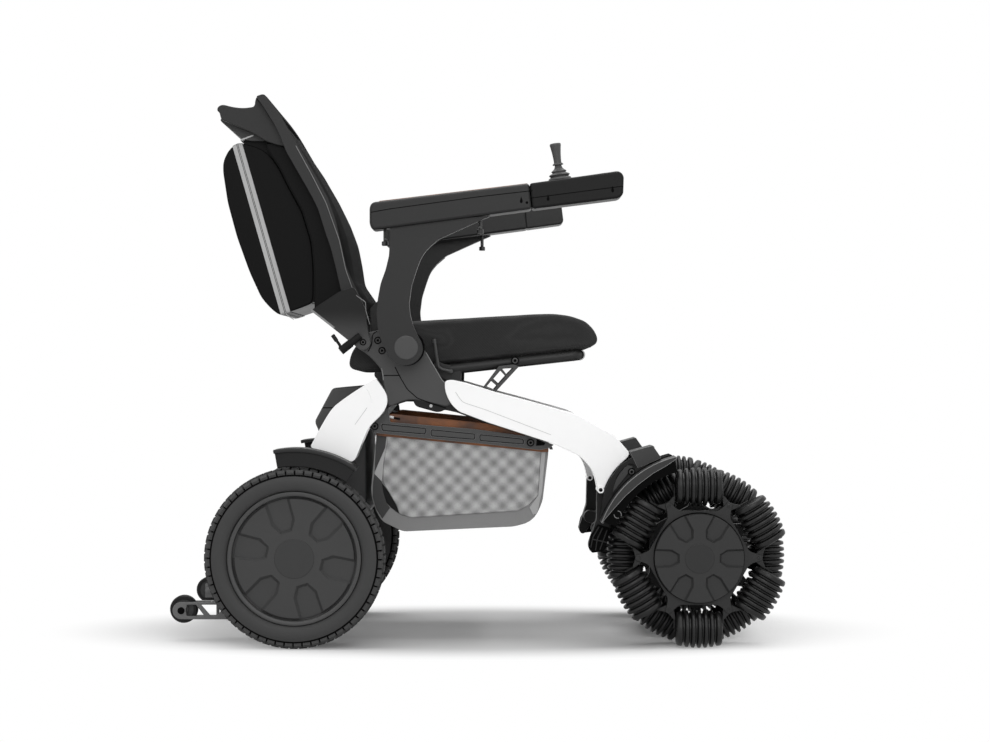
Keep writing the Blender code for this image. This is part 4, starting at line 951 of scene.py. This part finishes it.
box = eased(panel(near(rearAxle, battery["outline"]), -150, 150, corner=12), 7, 4)
cut(box, (0, 0, rearAxle[1] + battery["seam"]), (0, 0, 1))
seam = [edge for edge in box.edges if all(onSeam(vert) for vert in edge.verts)]
ops.bevel(box, geom=seam, offset=0.0009, offset_type="OFFSET", segments=2, profile=0.5,
          affect="EDGES", material=1)
for vert in box.verts:
    if onSeam(vert):
        vert.co += Vector((-vert.normal.x, -vert.normal.y, 0)) * 0.0012
piece("batteryBox", box, ["battery", "groove"], "frame", ["battery_box"])

# Footplate: ribs for grip on a rounded plate that turns on the hangers' pin.
foot = {
    "plan": [(4, -78), (20, -78), (20, -130), (135, -130), (165, -100), (165, 100), (135, 130),
             (20, 130), (20, 78), (4, 78)],
    "barrel": [(5.3, -78), (8.4, -78), (9, -77.4), (9, 77.4), (8.4, 78), (5.3, 78)],
    "ribs": [32 + 14 * number for number in range(9)], "rib": 6, "low": -0.006, "high": 0.004,
}
x0, z0 = footHinge
plate = bmesh.new()
polygon(plate, [(x0 + x / 1000, y / 1000, z0 + foot["low"]) for x, y in foot["plan"]])
rounded(plate, 7, 4)
raised(plate, list(plate.faces), (0, 0, 0.011))
kit = Kit(footHinge)
kit.put("plastic", eased(plate, 2.2, 3), turned(foot["barrel"], footHinge, 1, 36))
for start in foot["ribs"]:
    kit.put("roller", block((x0 + start / 1000, -0.112, z0 + foot["high"]),
                            (x0 + (start + foot["rib"]) / 1000, 0.112, z0 + foot["high"] + 0.002), 0.7))
kit.make("footplate", "foot_rest", ["footplate"])
print("battery and footplate ready")

# Storage bag: a stiff shell with a net window on each side and leather round its mouth.
bagBack = near(pivot, [
    (-49, -125.5), (-56, -134), (-57, -158), (-67, -258), (-61, -284), (-48, -310), (-9, -329),
])
bagFront = near(frontMark, [(-164, 50), (-131, 60), (-115, 93), (-104, 184), (-104, 197)])
bag = {
    "net": [(-34.8, -150), (-44.7, -209.1), (-45.6, -239.6), (-21.4, -280.8), (-15.1, -297.8),
        (5.5, -304.1), (196.5, -291.8), (214.8, -282.6), (233.1, -264.3), (239.1, -182)],
    "facets": [("bagDark", [(-55, -152), (-38.4, -152), (-41.1, -178.7), (-59.9, -221.7), (-58, -178.7)]),
        ("bagPale", [(-37.5, -152), (-34.8, -152), (-42.9, -209.1), (-46.5, -239.6), (-60.8, -225.3),
        (-59.9, -221.7), (-41.1, -178.7)]), ("bagDark", [(-60, -225.3), (-46.5, -240.5), (-45.6, -252.1),
        (-42.9, -262.9), (-38.4, -277.2), (-32.2, -286.2), (-46, -306), (-57.2, -288), (-63.5, -266.5),
        (-62.5, -240)]), ("bagMesh", [(-47.4, -240.5), (-33.9, -259.3), (-21.4, -280.8), (-16, -296.9),
        (-30.4, -286.2), (-38.4, -277.2), (-43.8, -261.1)]), ("bagPale", [(239.1, -182), (247.4, -182),
        (240.4, -258.2), (232, -296), (223.9, -299), (217.8, -285.7), (233.1, -264.3)])],
    "lid": [(-60, -124), (-50, -120.5), (-27, -117.6), (152, -135.5), (210, -156.5), (209, -164),
        (-30, -139), (-62, -136)],
    "lining": [(-44, -124), (-27, -118.4), (152, -136.5), (206, -156), (206, -176), (-44, -150)],
    "under": [(-57, -148), (229.5, -174), (251.9, -172), (251.9, -186.4), (239.7, -186.4), (209.8, -183.2),
        (-57, -156.8)],
}
outline = bagBack + bagFront + near(pivot, [(166, -144)])
inside = ([(bagBack[1][0] + 0.005, pivot[1])] + moved(bagBack[2:6], 5, 4) + moved(bagBack[6:], 0, 4)
          + moved(bagFront[:2], 0, 4) + moved(bagFront[2:4], -5, 4) + [(bagFront[3][0] - 0.005, pivot[1])])
kit = Kit(pivot)
shell = carved(panel(outline, -206, 206, corner=16), panel(inside, -202, 202))
kit.put("bagBand", eased(shell, 0.8, 2, 60))
for side in sides.values():
    kit.side = side
    kit.plate("bagBand", outline, 206, 208, 0.9, 2, 16)
    kit.slab("net", bag["net"], 206, 211.4, 2.4, 4, 7)
    # Most facets are flat plates in paler and darker copies of the band's look: painted light and shade of a
    # bevelled band.
    for look, facet in bag["facets"]:
        kit.slab(look, facet, 206, 209.6, 1)
    for key in ("lid", "under"):
        kit.slab("leather", bag[key], 206.5, 212.1, 1.2)
    kit.slab("leather", bag["lining"], 199.5, 206, 0.8)
kit.make("storageBag", "frame", ["storage_bag"], "bag_cloth", smooth=30)

# Rails over the bag, with recesses along them.
rail = {
    "outline": [(-60, -151.5), (-62, -140), (-57, -131), (-54, -127), (-47, -115.9), (-35, -106.9),
        (-31, -132.6), (-20.9, -133.3), (121.3, -145.1), (215.5, -158.1), (250.7, -169), (261.3, -173),
        (252.5, -178.5), (238.2, -182.1), (219.6, -180.4), (139.9, -171.8), (38.8, -162)],
    "pockets": [[(-46.5, -147.8), (32, -154.5), (33.9, -143.1), (-47.6, -135.2)], [(40.9, -157.6),
        (120.3, -164), (121.3, -153.1), (40.9, -145.1)], [(128.1, -166), (207.7, -172.4), (207.7, -162.1),
        (128.1, -154)]],
    "across": (212.3, 222.3), "bolts": [(-59, -139.7), (219.6, -169)],
    "insert": [(229.3, -174.7), (243.6, -174), (246, -169.5), (230.5, -162.6)],
    "cross": [(-102, 188.3), (-96, 188.3), (-98, 194), (-102, 194)],
    "clips": {"steel": [(-46.8, -118.4), (-25, -122.2), (-25, -127), (-46.8, -122.6)],
        "groove": [(-26, -123), (-14, -125.4), (-14, -129), (-26, -126.6)]},
}
kit = Kit(pivot)
for side in sides.values():
    kit.side = side
    tools = [panel(near(pivot, pocket), 219.8, 224, side, 5) for pocket in rail["pockets"]]
    beam = carved(panel(near(pivot, rail["outline"]), *rail["across"], side, 3), *tools)
    # The rail's bevels take the edge look: a painted highlight.
    kit.edged("rail", "edge", beam, 0.6, 1, 50)
    for pocket in rail["pockets"]:
        # A dark plate in each recess, with a flat middle in the rail's colour: the dark ring left round it
        # is painted shade along the recess walls.
        plate = tinted(panel(near(pivot, pocket), 219, 221.2, side, 6), kit.index("groove"))
        outer = [face for face in plate.faces if face.normal.y * side > 0.9]
        ops.inset_region(plate, faces=outer, thickness=0.0014, depth=0, use_even_offset=True)
        for face in outer:
            face.material_index = kit.index("rail")
        kit.parts.append(plate)
    kit.slab("groove", rail["insert"], 221, 222.7, 0.4, 1)
    for spot in rail["bolts"]:
        kit.rod("rail", spot, 9, 214, 222.8)
        kit.screw(spot, 7, 222.8, "groove", "rail")
    for look, clip in rail["clips"].items():
        kit.slab(look, clip, 205, 214, 0.8)
kit.plate("rail", near(frontMark, rail["cross"]), -215, 215, 1)
kit.make("bagRails", "frame", ["bag_frame"], "frame_black")
print("bag ready")

# Seat: a bent tube, ladder braces and a lever.
seat = {
    "track": 190, "radius": 9.8, "bend": 16, "tube": [(76, -37.3), (308.5, -11.8)],
    "brace": [(132.5, -72.5), (155, -80.5), (199, -33), (190, -29), (163, -32)],
    "windows": [[(168.5, -36.5), (189, -35.6), (177, -47.6)], [(166, -40), (175.4, -50), (162, -65),
        (152.2, -55.8)], [(149, -59), (159.4, -68), (152, -76.6), (139, -71)]],
    "shoe": [(44, -30), (50, -22), (64, -28), (96, -34), (95, -60.5), (69.6, -60), (52, -48)],
    "lever": [(47.3, 15.5), (50.5, -8), (54.5, -33), (60, -38), (77, -41.5)], "bolt": (191.9, -22.4),
    "glint": [(8.2, 176), (10.1, 176), (10.1, 187.5), (8.2, 187.5)], "knob": [(46.8, 16.4), (47.6, 9)],
}
tubeBack, tubeFront = near(pivot, seat["tube"])


def tubeLevel(x):
    slope = (tubeFront[1] - tubeBack[1]) * (x - tubeBack[0]) / (tubeFront[0] - tubeBack[0])
    return tubeBack[1] + slope


half = [(tubeBack[0], seat["track"] / 1000)] + [
    (tubeFront[0] + seat["bend"] / 1000 * (sin(a) - 1), (seat["track"] + seat["bend"] * (cos(a) - 1)) / 1000)
    for a in [pi / 2 * i / 8 for i in range(9)]
]
path = [(x, -y, tubeLevel(x)) for x, y in half] + [(x, y, tubeLevel(x)) for x, y in reversed(half)]
kit = Kit(pivot)
kit.put("plastic", pipe(path, seat["radius"], 28), rod(tubeBack, 9, -190, 190, 1, 32))
windows = [near(pivot, loop) for loop in seat["windows"]]
for side in sides.values():
    kit.side = side
    kit.slab("plastic", seat["shoe"], 181, 198, 1.5, 2, 5)
    kit.put("casting", eased(panel(near(pivot, seat["brace"]), 203, 209, side, holes=windows), 0.7, 2))
    kit.screw(seat["bolt"], 7.4, 208.8, "groove", "casting")
    kit.rod("plastic", seat["bolt"], 7, 196, 208.6)
    # A pale ring round the tube's bend: a painted highlight.
    kit.put("tape", swept(seat["glint"], tubeFront, -80, 62, side, 24))
kit.make("seatTube", "frame", ["seat_frame"])
kit = Kit(pivot, sides["Right"])
kit.cord("casting", seat["lever"], 213, 2.8, 14, 5)
kit.cord("casting", seat["knob"], 213, 3.5, 16, 0)
kit.rod("casting", (77, -41.5), 3.6, 200.8, 215, 28)
kit.make("seatLever", "lever", ["seat_lever"])
print("seat frame ready")


# Cushions swell under pressure from a drawn-in form, then fill the room of their solid.
def relaxed(bm, rounds):
    for _ in range(rounds):
        ops.smooth_vert(bm, verts=bm.verts, factor=0.5, use_axis_x=True, use_axis_y=True, use_axis_z=True)
    return bm


def reachOf(bm, axis):
    values = [vert.co[axis] for vert in bm.verts]
    return min(values), max(values)


def plump(name, node, source, cloth, body, swell, seams=(), spare=(0, 0)):
    solid = copied(node)
    room = [reachOf(solid, axis) for axis in range(3)]
    room[0] = (room[0][0] - spare[0] / 1000, room[0][1] + spare[1] / 1000)
    solid.free()
    holder = placed("tool", meshOf("tool", source))
    remesh = holder.modifiers.new("remesh", "REMESH")
    remesh.mode = "VOXEL"
    remesh.voxel_size = 0.005
    bpy.context.view_layer.update()
    base = meshOf(name, relaxed(fromObject(holder), 4))
    holder.modifiers.clear()
    holder.data = base
    start = [vert.co.copy() for vert in base.vertices]
    soft = holder.modifiers.new("cloth", "CLOTH")
    soft.settings.use_pressure = True
    soft.settings.uniform_pressure_force = 4
    soft.settings.effector_weights.gravity = 0
    soft.point_cache.frame_start = 1
    soft.point_cache.frame_end = 20
    for step in range(1, 21):
        scene.frame_set(step)
    graph = bpy.context.evaluated_depsgraph_get()
    swollen = bpy.data.meshes.new_from_object(holder.evaluated_get(graph))
    for vert, first in zip(swollen.vertices, start):
        shift = vert.co - first
        if shift.length > swell / 1000:
            vert.co = first + shift.normalized() * swell / 1000
    holder.modifiers.clear()
    holder.data = swollen
    scene.frame_set(1)
    bm = bmesh.new()
    bm.from_mesh(holder.data)
    bpy.data.objects.remove(holder)
    ops.subdivide_edges(bm, edges=bm.edges, cuts=1, use_grid_fill=True, smooth=0.0)
    relaxed(bm, 5)
    for axis, (low, high) in enumerate(room):
        least, most = reachOf(bm, axis)
        for vert in bm.verts:
            vert.co[axis] = low + (vert.co[axis] - least) * (high - low) / (most - least)
    made = piece(name, joined(tinted(bm, 0), *[tinted(item, 1) for item in seams]), [cloth, "piping"],
                 body, [node], "fabric_black", smooth=80, weighted=False)


cushion = {
    "side": [(-103, -36), (-97, -12), (-88, 4), (-60, 26), (-20, 44), (15, 49.5), (120, 56.5), (225, 63),
        (261, 64), (291, 60), (318, 50), (332.5, 33), (339.5, 16), (338.6, 8), (330, 1), (315, -2),
        (186, -16.5), (57, -31), (-49, -45.5), (-83, -47), (-98, -44)],
    "half": 196, "boxing": [(317.6, 48.2), (329, 2.8)],
}
seams = [pipe([(x, -0.17, z), (x, 0.17, z)], 1.0, 8) for x, z in near(pivot, cushion["boxing"])]
source = panel(near(pivot, cushion["side"]), -cushion["half"], cushion["half"], corner=5)
plump("seatCushion", "seat_cushion", eased(source, 11, 4, 50), "seatCloth", "frame", 3, seams,
      (3.5, 2.5))
backLine = near(pivot, [
    (-73, 68), (-94, 108), (-111, 144), (-120, 183), (-130, 229), (-144, 269), (-163, 305), (-190, 351),
    (-231, 421), (-248.3, 445.4), (-256.6, 454.6), (-261, 457),
])
# The back cushion lies in a tray in the shell's front.
tray = {"drop": (-10.6, -5.4), "reach": 189, "half": 187.5}
trayLine = moved(backLine[:-3], *tray["drop"])
backFront = near(pivot, [
    (-72, 86), (-100, 128), (-105, 162), (-113, 202), (-128, 243), (-149, 286), (-177, 335), (-205, 376.5),
    (-229, 415),
])
outline = backFront + moved(trayLine[::-1], 0.4, 0.2)
source = eased(panel(outline, -tray["half"], tray["half"], corner=8), 7, 4, 50)
plump("backCushion", "back_cushion", source, "backCloth", "backrest", 4)
print("cushions ready")

# Backrest: a curved shell, its rear hump, the push handle and the two hinge lobes.
backSeam = near(pivot, [
    (-267.7, 455.3), (-275, 452), (-263.2, 438.8), (-251.4, 419.3), (-233.4, 391), (-221.4, 356.4),
    (-210.6, 338.5), (-194.4, 309.7), (-178.6, 282.8), (-163, 253.1), (-147.7, 203.7), (-140, 183),
    (-130, 144), (-120, 100),
])
bagSeat = near(pivot, [
    (-171, 66), (-173, 146), (-177, 193), (-194, 249), (-224, 304), (-236, 330), (-259, 361),
])
backHump = bagSeat[::-1] + near(pivot, [
    (-130, 34), (-116, 60), (-112, 100), (-126, 144), (-136, 183), (-146, 223), (-165, 276),
    (-191, 322), (-225, 368), (-258, 377),
])
handle = near(pivot, [
    (-268, 452), (-274.5, 453), (-277.4, 449.4), (-278.3, 437), (-286.6, 435.4), (-298.7, 434.2),
    (-310.6, 435), (-324.2, 437.5), (-336.3, 441.1), (-345.3, 436.5), (-346.5, 429.4), (-341.5, 426),
    (-340, 417), (-337.8, 412.8), (-303.2, 397.8), (-283.5, 390.2), (-256.4, 373.5), (-232.4, 366),
    (-216, 366), (-228, 391), (-246, 419), (-257, 438),
])
back = {
    "lobe": (242.6, 254.4), "wing": 180, "slot": (-318, -286), "slotWidth": 0.12,
    "keel": [(-343.6, 416.5), (-340.8, 411.3), (-324.2, 397.8), (-303.2, 380), (-286, 377), (-262, 377),
        (-250, 380), (-283, 398), (-303, 406), (-337, 417)],
    "tray": [(-306, 376.5), (-306, 379.6), (-282.5, 388.6), (-282.5, 385.4)],
    "line": [(-275.3, 452.2), (-263.2, 438.8), (-251.4, 419.3), (-233.4, 391), (-222.8, 370), (-220, 362)],
    "glint": [(-202, 364), (-173, 311), (-148, 262), (-124, 195), (-112, 140), (-99, 104)],
    "lobeGlint": [(-90, 93), (-73.5, 81), (-73, 66), (-66, 42)],
    "cheek": [(-66, 26), (-38, 22), (-36, 70), (-52, 86), (-68, 70)],
    "gasket": [(-300, 379), (-250, 379), (-256, 361), (-232.6, 330), (-220.6, 304), (-190.6, 249),
        (-173.8, 193), (-169.8, 146), (-170, 84), (-186, 84), (-187, 143), (-191, 190), (-208, 246),
        (-238, 301), (-250, 327), (-273, 356), (-300, 366)],
    "tapes": [(-314, 374), (-224, 60)], "bridge": [(-150, 66), (-128, 48), (-86, 66), (-104, 104)],
    "trim": [(-171, 66), (-130, 34), (-128, 37), (-169, 69)],
}
kit = Kit(pivot)
pocket = panel(trayLine + moved(trayLine[::-1], 60, 30), -tray["reach"], tray["reach"])
shell = eased(panel(backLine + backSeam, -200, 200, corner=16), 4, 4)
shell = tinted(carved(shell, pocket), kit.index("plastic"))
# The shell's front is covered with the cushion's cloth.
for face in shell.faces:
    if face.normal.x > 0.3:
        face.material_index = kit.index("backCloth")
kit.parts.append(shell)
kit.plate("shell", backHump, -170, 170, 6, 4, 16)
wing = eased(panel(handle, -back["wing"], back["wing"], corner=10), 4, 4)
low, high = [pivot[0] + x / 1000 for x in back["slot"]]
slot = block((low, -back["slotWidth"], pivot[1] + 0.35), (high, back["slotWidth"], pivot[1] + 0.47))
kit.put("plastic", eased(carved(wing, slot), 1.6, 2, 60))
# The hinge look is brighter towards the bottom: a painted highlight.
kit.slab("lobe", back["bridge"], -253, 253, 1.5, 2, 8)
lobe = (near(pivot, [(-171, 66), (-130, 34), (-95, 6)]) + arc(backHinge, 14, 225, 400, 8)
        + near(pivot, [(-72, 50), (-73, 68), (-94, 108), (-120, 100)]))
for side in sides.values():
    kit.side = side
    kit.plate("lobe", lobe, *back["lobe"], 1.6, 3, 10)
    kit.anchor = backHinge
    kit.screw((0, 0), 5.8, back["lobe"][1], "groove", "lobe")
    kit.anchor = pivot
    # Pale cords and a pale strip along the lobe, the shell's side and the hinge plate: painted highlights.
    kit.cord("edge", back["lobeGlint"], 254.2, 0.7, 8, 5)
    kit.cord("edge", back["glint"], 200, 0.6, 8, 12)
    kit.cord("groove", back["line"], 181, 1.0)
    kit.slab("plastic", back["cheek"], 203, 221, 1.5, 2, 6)
    kit.slab("edge", back["trim"], 251, 255, 0.6)
kit.side = 1
kit.slab("pale", back["tray"], -162, 162, 0.8)
kit.slab("hub", back["keel"], -160, 160, 5, 4, 8)
kit.make("backShell", "backrest", ["back_frame"])

# Hard bag behind the backrest, with a zip round it.
rearBag = (near(pivot, [(-323, 370), (-338, 346), (-340, 326), (-331, 266), (-314, 203), (-291, 139),
                        (-268, 89), (-241, 62), (-231, 62)])
           + near(pivot, [(-182, 79), (-174, 86)]) + moved(bagSeat[1:], -0.4, 0)
           + near(pivot, [(-301, 375)]))
case = eased(panel(rearBag, -150, 150, corner=22), 20, 6, 60)
start, end = [Vector((x, 0, z)) for x, z in near(pivot, back["tapes"])]
run = (end - start).normalized()
across = Vector((-run.z, 0, run.x))
zipper = {"tape": 9.3, "teeth": (0.6, 1.6)}
low, high = zipper["teeth"]
for shift in (-zipper["tape"], -high, -low, low, high, zipper["tape"]):
    cut(case, start + across * shift / 1000, across)
for face in case.faces:
    reach = abs((face.calc_center_median() - start).dot(across)) * 1000
    band = 2 if low < reach < high else 1
    face.material_index = 0 if reach > zipper["tape"] else band
band = [face for face in case.faces if face.material_index]
ops.inset_region(case, faces=band, thickness=0.0004, depth=0.0012, use_even_offset=True)
gasket = panel(near(pivot, back["gasket"]), -149, 149)
pull = pipe(at(near(pivot, [(-226, 66), (-221, 58), (-210, 53)]), -150.5), 0.8, 10, corner=5)
piece("backBag", joined(case, tinted(gasket, 0), tinted(pull, 1)), ["shell", "tape", "groove"],
      "backrest", ["back_bag"], "bag_shell", smooth=40)

lock = {"across": -261.3, "barrel": [(-116, -5), (-82, 22)], "stem": [(-116, -5), (-118, 4), (-131, 22)],
        "grip": [(-124, 12), (-131.6, 22.8)]}
first, last = [Vector(point) for point in near(pivot, lock["barrel"])]
collar = [tuple(first.lerp(last, share)) for share in (-0.03, 0.5)]
kit = Kit(pivot)
for line, radius, steps in ((near(pivot, lock["barrel"]), 6.2, 28), (collar, 7.4, 28)):
    kit.put("control", eased(pipe(at(line, lock["across"]), radius, steps), 0.8, 2))
kit.cord("control", lock["stem"], lock["across"], 2.6, 16, 6)
grip = pipe(at(near(pivot, lock["grip"]), lock["across"]), 3.6, 20)
kit.put("plasticDark", eased(grip, 0.8, 2))
kit.make("lockPin", "lock_pin", ["back_lock_pin"])
print("backrest ready")

# Armrests.
rest = {
    "back": [(-49.5, 31), (-52, 58), (-50, 84), (-45, 112), (-36, 137), (-30, 162), (-28, 216)],
    "front": [(150, 232), (118, 218), (87, 204), (56, 190), (38, 174), (26, 158), (18, 136), (9, 107),
        (5, 75), (8, 52), (14, 33), (26, 11)],
    "lobe": [(28.4, 4), (29.5, -6), (24.3, -18), (13.8, -28), (-2, -32.3), (-17.8, -28.4), (-26.6, -19.6),
        (-37, -2), (-43.6, 10)],
    "drop": [(0, 7), (2.4, -1), (2.3, -3.6), (0, -5), (-2.3, -3.6), (-2.4, -1)],
    "body": [(-64, 216), (-59, 206), (221, 243), (216, 288), (-59, 255), (-64, 247)],
    "leather": [(-50, 254.5), (-47, 257.6), (150, 281), (213, 288.6), (214, 285), (150, 276), (-50, 251)],
    "seam": [(-62, 237), (-28, 243), (130, 264.6), (222, 275)],
    "box": [(218, 243), (288, 252.6), (293, 258), (289, 290), (281, 297.4), (214, 288)],
    "bead": [(55, 188), (37, 172.5), (25, 157), (16.8, 136), (7.8, 107), (3.8, 75), (6.6, 52), (12.6, 33),
        (24, 12)],
    "knobs": [(-38, 192), (130, 213)], "post": (271.3, 291.8), "wide": (236.8, 299.8), "dots": [(212, 254)],
    "plug": [(0, 290), (21, 290), (21, 292.6), (19.8, 293.6), (0, 294)],
    "head": [(0, -12), (5.5, -12), (6.2, -11), (6.2, -5), (5.2, -4), (0, -4)], "face": (298, 300.1),
}
for name, side in sides.items():
    label = name.lower()
    kit = Kit(pivot, side)
    kit.slab("post", rest["back"] + rest["front"] + rest["lobe"], *rest["post"], 3.6, 4, 10)
    kit.slab("armrest", rest["body"], *rest["wide"], 5, 4, 11)
    kit.slab("leather", rest["leather"], 243, 294, 1.4)
    kit.cord("groove", rest["seam"], 299.8, 0.7, 8, 0)
    kit.put("casting", turned(rest["plug"], pivot, side, 72))
    # A pale cord along the post's front edge: a painted highlight.
    kit.cord("edge", rest["bead"], 290.6, 0.7)
    for x, z in near(pivot, rest["knobs"]):
        across = side * 0.268
        head = turned(rest["head"], (0, 0), 1, 8)
        ops.rotate(head, verts=head.verts, matrix=Matrix.Rotation(pi / 2, 3, "X"))
        ops.translate(head, verts=head.verts, vec=(x, across, z))
        stem = pipe([(x, across, z - 0.008), (x, across, z + 0.028)], 3.2, 16)
        kit.put("screw", rod((x, z), 3, 262, 272, side, 24), stem, eased(head, 0.5, 1))
    for spot in rest["dots"]:
        kit.rod("groove", spot, 2.4, 298, 300.0, 24, 0.2)
    # Flat near-black teardrops stand for recesses: painted shade.
    kit.put("groove", panel(moved(near(pivot, rest["drop"]), 202, 258), *rest["face"], side))
    if name == "Left":
        kit.slab("armrest", rest["box"], *rest["wide"], 5, 4, 9)
    kit.make(f"armrest{name}", f"{label}_armrest", [f"armrest_{label}"])

# Controller and joystick. The gaiter stands in a round pocket that leaves it room at full tilt.
control = {
    "outline": [(221.3, 243), (374, 262), (381, 269), (382, 302), (374, 310), (216.3, 288)],
    "stick": (271, 295.6), "across": -268.3, "tilt": 7.8, "drops": [(249, 262), (362, 277)],
    "pocket": [(0, -15), (24.6, -15), (24.6, 8), (0, 8)],
    "well": [(23.9, -14.8), (24.8, -14.8), (25, 0.3), (24.6, 1.1), (23.9, 1.1)],
    "seam": [(219, 262), (381, 283)],
}
gaiter = [
    (0, -3.5), (20.3, -3.5), (21, 1), (19.6, 4.4), (16.2, 6), (16.6, 7.6), (18.3, 8.8), (18.5, 9.9),
    (16, 11.8), (12.3, 13.2), (12.2, 14.4), (13.4, 15.4), (13.3, 16.6), (11, 18.2), (9, 19.8),
    (7, 22.6), (6, 26.3), (6, 27.3), (9.2, 27.3), (9.5, 27.8), (9.5, 28.8), (8.8, 29.6), (7.0, 30.6),
    (6.6, 33), (6.8, 38), (7.8, 49), (9.1, 58), (9.9, 62.4), (9.8, 64.2), (8.9, 65.6), (6.5, 66),
    (0, 66),
]
stick = spotBy(pivot, *control["stick"])
base = (stick[0], control["across"] / 1000, stick[1])


def upright(profile, steps):
    bm = turned(profile, (0, 0), steps=steps)
    turn = Matrix.Rotation(-radians(control["tilt"]), 4, "Y") @ Matrix.Rotation(pi / 2, 4, "X")
    ops.transform(bm, matrix=Matrix.Translation(base) @ turn, verts=bm.verts)
    return tidy(bm)


kit = Kit(pivot, sides["Right"])
pocket = upright(control["pocket"], 56)
case = eased(panel(near(pivot, control["outline"]), *rest["wide"], kit.side, 10), 5, 4)
kit.put("control", carved(case, pocket))
kit.cord("groove", control["seam"], 299.8, 0.7, 8, 0)
# Flat near-black teardrops stand for recesses: painted shade.
for x, z in control["drops"]:
    kit.put("groove", panel(moved(near(pivot, rest["drop"]), x, z), *rest["face"], kit.side))
kit.put("control", upright(control["well"], 56))
kit.make("controller", "right_armrest", ["controller_box"])
piece("joystick", upright(gaiter, 48), ["battery"], "stick", ["joystick"], "rubber", smooth=50)
piece("joystickBowl", copied("joystick_gimbal"), ["plastic"], "stick_gimbal", ["joystick_gimbal"])
for key, body in (("horn_button", "horn"), ("power_button", "power")):
    piece(f"{body}Button", eased(copied(key), 1.2, 3), ["roller"], body, [key], "rubber")
print("armrests and controller ready")

# Soft studio: broad lamps, a pale floor and a white backdrop.
studio = {
    "fill": 0.58, "floor": 0.62, "shade": (0.75, 0.42), "fade": (0.65, 1.1),
    "lamps": {
        "top": ((0.2, 0.2, 3.2), (0, 0, 0), 3.0, 80),
        "front": ((0.3, -3.6, 2.2), (62, 0, 0), 2.4, 43),
        "low": ((0.1, -4.8, 0.5), (90, 0, 0), 1.6, 22),
        "left": ((-3.0, -1.6, 1.8), (66, 0, -62), 1.6, 8),
        "right": ((3.2, -0.6, 1.2), (74, 0, 78), 1.2, 7),
    },
}
world = bpy.data.worlds.new("studio")
world.use_nodes = True
scene.world = world
tree = world.node_tree


def seenBy(tree):
    # One where a ray comes from the camera, a mirror or glass.
    path = Wire(tree, None).node("LightPath", {}, {})
    rays = [Wire(tree, path.socket.node.outputs[f"Is {kind} Ray"])
            for kind in ("Camera", "Glossy", "Transmission")]
    return path.calc("MAXIMUM", path.calc("MAXIMUM", rays[0], rays[1]), rays[2])


background = tree.nodes["Background"]
background.inputs["Color"].default_value = (1, 1, 1, 1)
level = seenBy(tree).span(0, 1, studio["fill"], 1.0)
tree.links.new(level.socket, background.inputs["Strength"])


def floorBuild(place):
    return {"Base Color": studio["floor"] + 0.02 * place.noise(2)}


floorLook = surface("floor", floorBuild, Roughness=0.9)
tree = floorLook.node_tree
place = Wire(tree, None).node("TexCoord", {}, {}, "Object")
reach = place.node("VectorMath", {"operation": "DIVIDE"}, {0: place, 1: (*studio["shade"], 1)})
reach = reach.node("VectorMath", {"operation": "LENGTH"}, {0: reach}, "Value")
clear = seenBy(tree) * reach.span(*studio["fade"])
glow = clear.node("Emission", {}, {"Color": (1, 1, 1, 1), "Strength": 1.0})
shaded = Wire(tree, tree.nodes["Principled BSDF"].outputs[0])
mixed = clear.node("MixShader", {}, {0: clear, 1: shaded, 2: glow})
tree.links.new(mixed.socket, tree.nodes["Material Output"].inputs["Surface"])
grid = bmesh.new()
ops.create_grid(grid, x_segments=1, y_segments=1, size=30)
floorData = meshOf("floor", grid)
floorData.materials.append(floorLook)
floor = placed("floor", floorData)
for name, (place, turn, width, power) in studio["lamps"].items():
    data = bpy.data.lights.new(name, "AREA")
    data.shape = "SQUARE"
    data.size = width
    data.energy = power
    lamp = placed(name, data)
    lamp.location = place
    lamp.visible_glossy = name != "low"
    lamp.rotation_euler = [radians(angle) for angle in turn]
print("studio ready")
